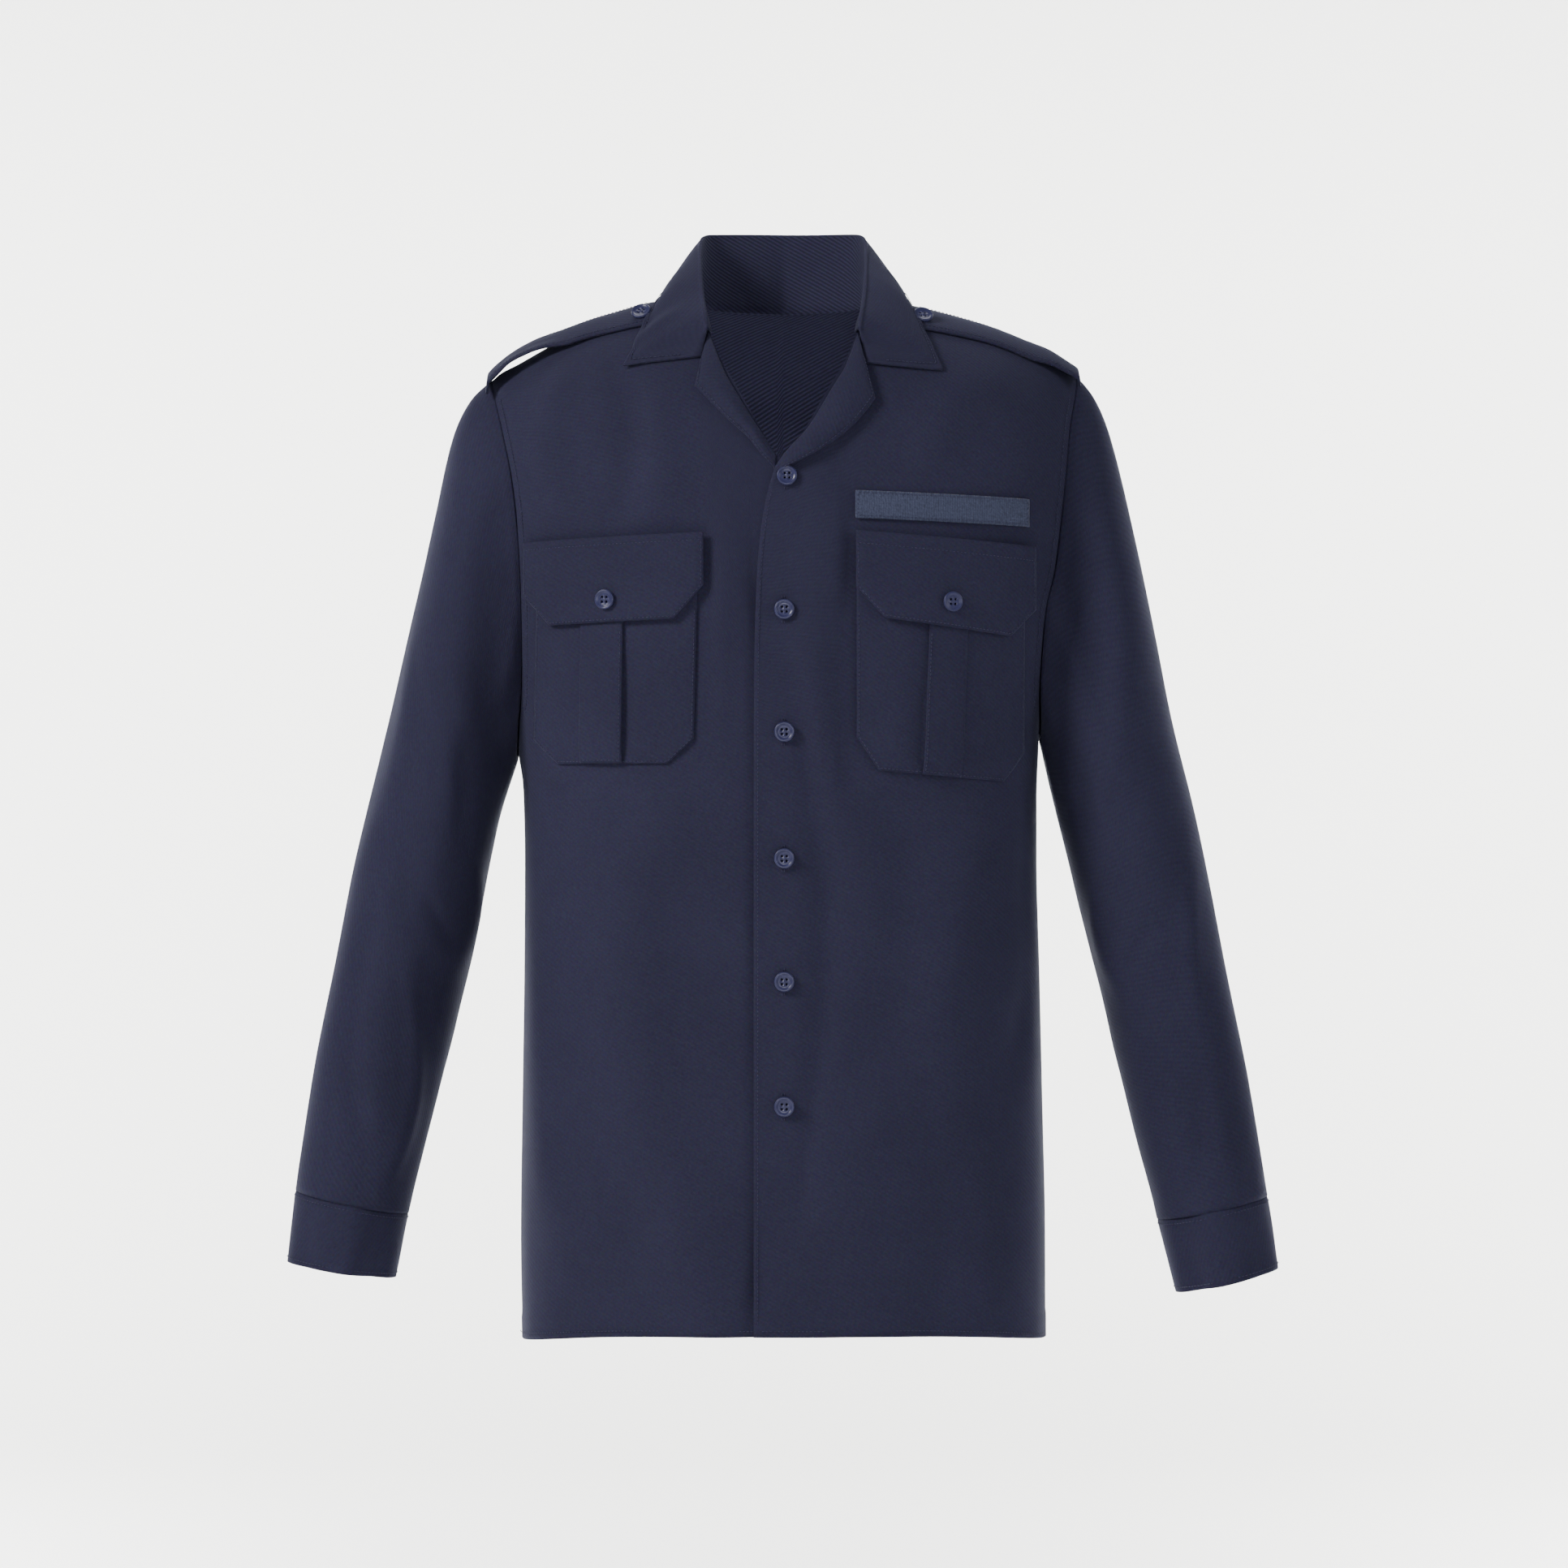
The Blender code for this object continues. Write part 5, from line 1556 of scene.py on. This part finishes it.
def button_shape():
    """A disc with a rim round its sunken middle, and four holes through it."""
    whole = settings().button_radius
    bm = bmesh.new()
    verts = [bm.verts.new((radius * whole, 0.0, height * BUTTON_THICK))
             for radius, height in BUTTON_RINGS]
    edges = [bm.edges.new(pair) for pair in zip(verts, verts[1:])]
    bmesh.ops.spin(bm, geom=verts + edges, cent=(0, 0, 0), axis=(0, 0, 1),
                   angle=2 * math.pi, steps=40, use_merge=True)
    bmesh.ops.remove_doubles(bm, verts=bm.verts, dist=0.000005)
    holes = []
    for level in (BUTTON_FLOOR, 0.0):
        z = level * BUTTON_THICK
        rim = [e for e in bm.edges if e.is_boundary
               and all(abs(v.co.z - z) < 1e-6 for v in e.verts)]
        rings = []
        for x, y in product((-HOLE_PLACE * whole, HOLE_PLACE * whole), repeat=2):
            ring = bmesh.ops.create_circle(bm, segments=14, radius=HOLE_RADIUS * whole,
                                           matrix=Matrix.Translation((x, y, z)))["verts"]
            rings.append(list(dict.fromkeys(e for v in ring for e in v.link_edges)))
        bmesh.ops.triangle_fill(bm, use_beauty=True, edges=rim + [e for r in rings for e in r],
                                normal=(0, 0, 1))
        holes.append(rings)
    for top, bottom in zip(*holes):
        bmesh.ops.bridge_loops(bm, edges=top + bottom)
    bmesh.ops.recalc_face_normals(bm, faces=bm.faces)
    return bm


def thread_shape():
    """The thread's shank under a button, real thread coloured dark as painted shade in its four
    holes.
    """
    bm = bmesh.new()
    low, high = SHANK_ENDS
    bmesh.ops.create_cone(bm, cap_ends=True, segments=16, radius1=SHANK_FOOT,
                          radius2=SHANK_HEAD, depth=high - low,
                          matrix=Matrix.Translation((0, 0, (low + high) / 2)))
    return bm


def seat(point_at, tip=0.0):
    """Where a button sits: its place, looking out from the cloth, its top edge up."""
    base, out = point_at(0.0), point_at(0.01)
    axis = (Vector(out - base).normalized() + Vector((0.0, -tip, 0.0))).normalized()
    turn = axis.to_track_quat("Z", "Y").to_matrix().to_4x4()
    return Matrix.Translation(Vector(base)) @ turn


def front_line(index):
    return TOP_BUTTON_X if index == 1 else BUTTON_LINE


def button_seats():
    """What each button sits on: a function of how far out from it a point is wanted."""
    seats = {}
    for index, z in enumerate(FRONT_BUTTONS, 1):
        seats[f"button_front_{index}"] = partial(
            on_body, front_line(index), z, OVERLAP_LIFT + BUTTON_GAP["front"])
    for side in SIDES:
        size, flap = CHEST[side], flap_frame(side)
        x, z = sign_of(side) * size["button_x"], size["button_z"]
        spot = body_point("front", x, z)
        lift = flap.base + FLAP_WALL + BUTTON_GAP["flap"] + flap_relief(side)(
            *place_in(flap, spot[0], spot[2]), spot)
        seats["button_flap_" + side] = partial(on_body, x, z, lift)
        across = (STRAP_BUTTON_Y - STRAP_BACK) / (STRAP_FRONT - STRAP_BACK)
        along = (STRAP_BUTTON_X[side] - STRAP_START) / (STRAP_END - STRAP_START)
        seats["button_epaulette_" + side] = partial(
            over_strap, side, across, STRAP_WALL + BUTTON_GAP["epaulette"], along)
    return seats


def on_body(x, z, lift, out):
    return body_point("front", x, z, lift + out)


def over_strap(side, across, lift, along, out):
    """Point over the strap, out along the strap's own normal."""
    by_side = strap_point(side, across + 0.04, along) - strap_point(side, across - 0.04, along)
    ahead = strap_point(side, across, along + 0.02) - strap_point(side, across, along - 0.02)
    normal = unit(np.cross(by_side, ahead))
    return strap_point(side, across, along) + normal * math.copysign(lift + out, normal[2])


def make_buttons():
    shape, thread = button_shape(), thread_shape()
    for node, point_at in button_seats().items():
        place = seat(point_at, BUTTON_TIP if "epaulette" in node else 0.0)
        disc = joined(node + "_disc", shape, [place], "button_plastic")
        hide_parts(node)
        joined(node + "_thread", thread, [place], "shank_thread")
    shape.free()
    thread.free()


# Sewing: rows of stitches, each along a line on its piece


def along_patch(side, patch, wall, relief, corners):
    """Stitch rows on a flat chest piece from corner to corner, given as (across, down)."""
    def point_at(start, end, t, out):
        a, d = [low + (high - low) * t for low, high in zip(start, end)]
        high = wall + relief(a, d, patch_point(side, patch, a, d))
        return patch_point(side, patch, a, d, high + out)

    return [(partial(point_at, *pair),) for pair in zip(corners, corners[1:])]


HEM_INSET = 0.0045      # from the hem to its row of stitches
HEM_STITCHES = {"right": (0.0040, 0.0040), "left": (-0.016, -0.012)}
BACK_HEM_HALF = 0.190
ARMHOLE_INSET = 0.0045
ARMHOLE_STITCHES = (-0.310, -0.075)     # z of the two ends that show
PLACKET_INSET = 0.0030
PLACKET_ENDS = 0.020    # no stitches this near to the break point and the hem


def chest_sewing():
    """Round each pocket, flap and tape, and down both sides of each pleat strip."""
    lines = []
    near, far = 0.013, 0.0169       # from a side edge, above and below the cut corners
    for side in SIDES:
        pocket, pleat, flap = pocket_frame(side), pleat_frame(side), flap_frame(side)
        row = CHEST[side]["flap_row"]
        for patch, wall, relief, top, low, closing in (
                (pocket, POCKET_WALL, pocket_relief(side), 0.30, 0.989, []),
                (flap, FLAP_WALL, flap_relief(side), row, 0.974, [(near, row)])):
            turn = corner_row(patch)
            lines += along_patch(side, patch, wall, relief, [
                (near, top), (near, turn), (far, low), (1 - far, low), (1 - near, turn),
                (1 - near, top)] + closing)
        lines += along_patch(side, pleat, PLEAT_WALL, pleat_relief(side), [
            (0.05, 0.30), (0.05, 0.985), (0.95, 0.985)])
    lines += along_patch("left", tape_frame(), TAPE_WALL * TAPE_SHARE, tape_relief, [
        (0.012, 0.08), (0.988, 0.08), (0.988, 0.92), (0.012, 0.92), (0.012, 0.08)])
    return lines


def front_sewing():
    """The hems, the row beside each armhole and the front edge with its facing."""
    def hem(side, t, out):
        start, end = HEM_STITCHES[side]
        x = sign_of(side) * (start + (side_edge(side, HEM_SIDE) - end) * t)
        up = OVERLAP_LIFT if side == "left" and x < 0.03 else 0.0
        return body_point("front", x, hem_height("front", x) + HEM_INSET,
                          up + 0.0006 + out)

    def armhole(side, t, out):
        low, high = ARMHOLE_STITCHES
        z = high + (low - high) * t
        return body_point("front", sign_of(side) * (side_edge(side, z) - ARMHOLE_INSET), z,
                          0.0001 + out)

    def hem_back(t, out):
        return body_point("back", BACK_HEM_HALF * (2 * t - 1), HEM_SIDE + HEM_INSET,
                          HEM_STEP + out)

    def placket(t, out):
        top, end = BREAK_POINT - PLACKET_ENDS, HEM_SIDE + PLACKET_ENDS
        z = top + (end - top) * t
        x = front_edge("left", z) + PLACKET_INSET
        return body_point("front", x, z, overlap_lift(x) + out)

    return [(partial(hem, "right"),), (partial(armhole, "right"),),
            (partial(hem, "left"),), (partial(armhole, "left"),), (hem_back,), (placket,)]


LEAF_STITCHES = 0.945   # from the neck seam, 0, to the collar's free edge, 1
HOLE_HALF = 0.0105      # half of a buttonhole's length


def collar_sewing():
    """Inside the free edges of the collar, the lapels and the epaulettes."""
    def edge(t, out):
        side, share = "left" if t > 0 else "right", 1 - abs(t)
        point = collar_point(side, share, LEAF_STITCHES)
        if share > 0.01:
            level = collar_point(side, share - 0.01, LEAF_STITCHES) - point
            normal = np.cross(collar_point(side, share, LEAF_STITCHES - 0.1) - point, level)
        else:
            normal = np.array([0, -0.5, 0.8])
        normal = unit(normal) if np.linalg.norm(normal) > 1e-9 else np.array([0.0, 0.0, 1.0])
        return point + normal * math.copysign(out + 0.0002, normal[2])

    def free(side, t, out):
        return lapel_point(side, 0.90, t, out + 0.0003)

    lines = [(edge, -0.97, 0.97)]
    for side in SIDES:
        lines.append((partial(free, side), 0.03, 0.97))
        lines += [(partial(over_strap, side, across, STRAP_WALL + 0.0004), 0.10, 0.98)
                  for across in (0.06, 0.94)]
    return lines


def cuff_sewing():
    """Round each cuff, near its seam and near its edge."""
    def ring(side, down, t, out):
        here = cuff_point(side, t, down)
        normal = unit(np.cross(cuff_point(side, t + 0.01, down) - here,
                               cuff_point(side, t, down + 0.05) - here))
        outward = np.dot(normal, here - np.array([*CUFF_MIDDLE, here[2]]))
        return mirrored(side, here + normal * math.copysign(out + 0.0001, outward))

    return [(partial(ring, side, down),) for side in SIDES for down in (0.07, 0.93)]


def buttonhole_sewing():
    """Close stitches on both sides of each front buttonhole."""
    def edge(x, z, t, out):
        return body_point("front", x, z + HOLE_HALF * (2 * t - 1),
                          OVERLAP_LIFT + 0.0005 + out)

    return [(partial(edge, front_line(index) + shift, z),)
            for index, z in enumerate(FRONT_BUTTONS, 1) for shift in (-0.0016, 0.0)]


def make_sewing():
    for name, lines in (("chest", chest_sewing), ("front", front_sewing),
                        ("collar", collar_sewing), ("cuff", cuff_sewing),
                        ("buttonhole", buttonhole_sewing)):
        sewn(name + "_stitches", lines())


# Stage


BACKDROP_HALF = (8.0, 7.0)      # across, and from front to back
BACKDROP_BEND = 3.0             # from where it curves up behind the shirt
BACKDROP_ROUND = 1.6
LAMPS = [   # name, place, the point that it lights, size, power, colour
    ("left", (-2.8, -1.9, 1.6), (0.0, 0.0, CAMERA_Z), 1.1, 102.0, (1.0, 0.99, 0.97)),
    ("right", (3.0, -1.2, 0.5), (0.0, 0.0, CAMERA_Z), 1.5, 25.0, (0.97, 0.98, 1.0)),
    ("front", (0.1, -4.6, -0.2), (0.0, 0.0, CAMERA_Z), 0.8, 34.0, (1.0, 1.0, 1.0)),
    ("above", (0.0, 1.5, 2.3), (0.0, 0.0, CAMERA_Z), 1.8, 34.0, (1.0, 1.0, 1.0)),
    ("paper_left", (-2.4, 1.3, -0.1), (-0.96, 3.9, -0.5), 1.6, 440.0, (1.0, 1.0, 1.0)),
    ("paper_right", (2.4, 1.3, -0.1), (0.96, 3.9, -0.5), 1.6, 440.0, (1.0, 1.0, 1.0)),
    ("inside", (0.0, -0.01, -0.26), (0.0, 0.11, -0.07), 0.14, 0.34, (1.0, 1.0, 1.0)),
]
SKY = (0.93, 0.94, 0.96, 1.0)
SKY_STRENGTH = 0.16


def make_backdrop():
    """Paper that lies as the floor and curves up behind."""
    wide, deep = BACKDROP_HALF
    floor = CAD_BOX[0][2] - settings().floor_drop
    bm = bmesh.new()
    bmesh.ops.create_grid(bm, x_segments=1, y_segments=40, size=1.0)
    for vert in bm.verts:
        run = vert.co.y * deep
        bend = max(0.0, run - BACKDROP_BEND)
        turn = min(bend / BACKDROP_ROUND, math.pi / 2)
        vert.co = (vert.co.x * wide,
                   min(run, BACKDROP_BEND) + BACKDROP_ROUND * math.sin(turn),
                   floor + BACKDROP_ROUND * (1 - math.cos(turn))
                   + max(0.0, bend - BACKDROP_ROUND * math.pi / 2))
    backdrop = new_object("backdrop", finished_mesh("backdrop", bm))
    backdrop.data.materials.append(material("backdrop"))


def place_at(item, place, target):
    """Put a lamp or the camera at a place, looking at a point."""
    item.location = place
    item.rotation_mode = "QUATERNION"
    item.rotation_quaternion = (Vector(target) - Vector(place)).to_track_quat("-Z", "Y")


def make_stage():
    make_backdrop()
    for name, place, target, wide, power, colour in LAMPS:
        light = bpy.data.lights.new(name, "AREA")
        light.size, light.energy, light.color = wide, power, colour
        lamp = new_object(name, light)
        lamp.visible_camera = False
        place_at(lamp, place, target)
    world = bpy.data.worlds.new("studio")
    world.use_nodes = True
    sky = world.node_tree.nodes["Background"].inputs
    sky["Color"].default_value, sky["Strength"].default_value = SKY, SKY_STRENGTH
    bpy.context.scene.world = world
    lens = bpy.data.cameras.new("camera")
    lens.sensor_width = SENSOR
    lens.lens = SENSOR * CAMERA_DISTANCE / (PHOTO_WIDTH * PIXEL)
    camera = new_object("camera", lens)
    place_at(camera, (CAMERA_X, -CAMERA_DISTANCE, CAMERA_Z), (CAMERA_X, 0.0, CAMERA_Z))
    bpy.context.scene.camera = camera


# Add-on


def colour_setting(name, description, hex_colour):
    return FloatVectorProperty(name=name, description=description, subtype="COLOR", size=3,
                               min=0.0, max=1.0, default=linear(hex_colour))


def length_setting(name, description, metres):
    return FloatProperty(name=name, description=description, default=metres, min=0.0,
                         precision=5, unit="LENGTH")


class UniformShirtSettings(bpy.types.PropertyGroup):
    """Sizes and colours that the makers read."""
    twill_colour: colour_setting("Twill", "Colour of the twill cloth", "#323147")
    tape_colour: colour_setting("Tape", "Colour of the name tape's loops", "#434861")
    button_colour: colour_setting("Buttons", "Colour of the buttons' resin", "#34355c")
    thread_colour: colour_setting("Thread", "Colour of the stitches", "#3c3c55")
    # the button thread's colour is dark as painted shade in the buttons' holes
    shank_and_shade_colour: colour_setting("Button thread", "Colour of the thread under the buttons",
                                 "#191a2b")
    paper_colour: colour_setting("Backdrop", "Colour of the backdrop", "#f1f1ef")
    cloth_thickness: length_setting("Cloth", "Thickness of the body's and sleeves' cloth",
                                    0.0009)
    trim_thickness: length_setting("Trim", "Thickness of the collar and cuffs: two layers "
                                   "with their stiffener", 0.0016)
    twill_pitch: length_setting("Twill pitch", "Between diagonal ribs; real ones are 2 mm, "
                                "too fine to read here", 0.0034)
    stitch_length: length_setting("Stitch", "Length of one stitch", 0.0020)
    stitch_gap: length_setting("Stitch gap", "Cloth between two stitches", 0.0009)
    button_radius: length_setting("Button radius", "Radius of every button", 0.0074)
    floor_drop: length_setting("Floor", "Distance from the hem down to the floor, because "
                               "the wearer holds the shirt up", 0.45)
    crease_depth: FloatProperty(
        name="Creases", description="How deep the creases are, where 1 is as they are listed",
        default=2.3, min=0.0, subtype="FACTOR")


class SHIRT_OT_fronts(bpy.types.Operator):
    """Make both fronts"""
    bl_idname = "shirt.fronts"
    bl_label = "Fronts"

    def execute(self, context):
        make_fronts()
        return {"FINISHED"}


class SHIRT_OT_back(bpy.types.Operator):
    """Make the back"""
    bl_idname = "shirt.back"
    bl_label = "Back"

    def execute(self, context):
        make_back()
        return {"FINISHED"}


class SHIRT_OT_sleeves(bpy.types.Operator):
    """Make both sleeves with their cuffs"""
    bl_idname = "shirt.sleeves"
    bl_label = "Sleeves and cuffs"

    def execute(self, context):
        make_sleeves()
        return {"FINISHED"}


class SHIRT_OT_collar(bpy.types.Operator):
    """Make the collar and both lapels"""
    bl_idname = "shirt.collar"
    bl_label = "Collar and lapels"

    def execute(self, context):
        make_collar()
        make_lapels()
        return {"FINISHED"}


class SHIRT_OT_chest(bpy.types.Operator):
    """Make the pockets, their flaps and the name tape"""
    bl_idname = "shirt.chest"
    bl_label = "Pockets and name tape"

    def execute(self, context):
        make_chest()
        return {"FINISHED"}


class SHIRT_OT_epaulettes(bpy.types.Operator):
    """Make both epaulettes"""
    bl_idname = "shirt.epaulettes"
    bl_label = "Epaulettes"

    def execute(self, context):
        make_epaulettes()
        return {"FINISHED"}


class SHIRT_OT_buttons(bpy.types.Operator):
    """Make all buttons with their thread"""
    bl_idname = "shirt.buttons"
    bl_label = "Buttons"

    def execute(self, context):
        make_buttons()
        return {"FINISHED"}


class SHIRT_OT_sewing(bpy.types.Operator):
    """Sew every row of stitches"""
    bl_idname = "shirt.sewing"
    bl_label = "Stitches"

    def execute(self, context):
        make_sewing()
        return {"FINISHED"}


class SHIRT_OT_stage(bpy.types.Operator):
    """Make the backdrop, the lights and the camera"""
    bl_idname = "shirt.stage"
    bl_label = "Stage"

    def execute(self, context):
        make_stage()
        return {"FINISHED"}


OPERATORS = (SHIRT_OT_stage, SHIRT_OT_fronts, SHIRT_OT_back, SHIRT_OT_sleeves,
             SHIRT_OT_collar, SHIRT_OT_chest, SHIRT_OT_epaulettes, SHIRT_OT_buttons,
             SHIRT_OT_sewing)


class SHIRT_PT_panel(bpy.types.Panel):
    """Lists the shirt's pieces"""
    bl_idname = "SHIRT_PT_panel"
    bl_label = "Uniform shirt"
    bl_space_type = "VIEW_3D"
    bl_region_type = "UI"
    bl_category = "Uniform shirt"

    def draw(self, context):
        for name in UniformShirtSettings.__annotations__:
            self.layout.prop(context.scene.uniform_shirt, name)
        for operator in OPERATORS:
            self.layout.operator(operator.bl_idname)


CLASSES = (UniformShirtSettings, *OPERATORS, SHIRT_PT_panel)


def register():
    for cls in CLASSES:
        bpy.utils.register_class(cls)
    bpy.types.Scene.uniform_shirt = PointerProperty(type=UniformShirtSettings)


def unregister():
    del bpy.types.Scene.uniform_shirt
    for cls in reversed(CLASSES):
        bpy.utils.unregister_class(cls)


def main():
    register()
    for operator in OPERATORS:
        getattr(bpy.ops.shirt, operator.bl_idname.split(".")[1])()


if __name__ == "__main__":
    main()
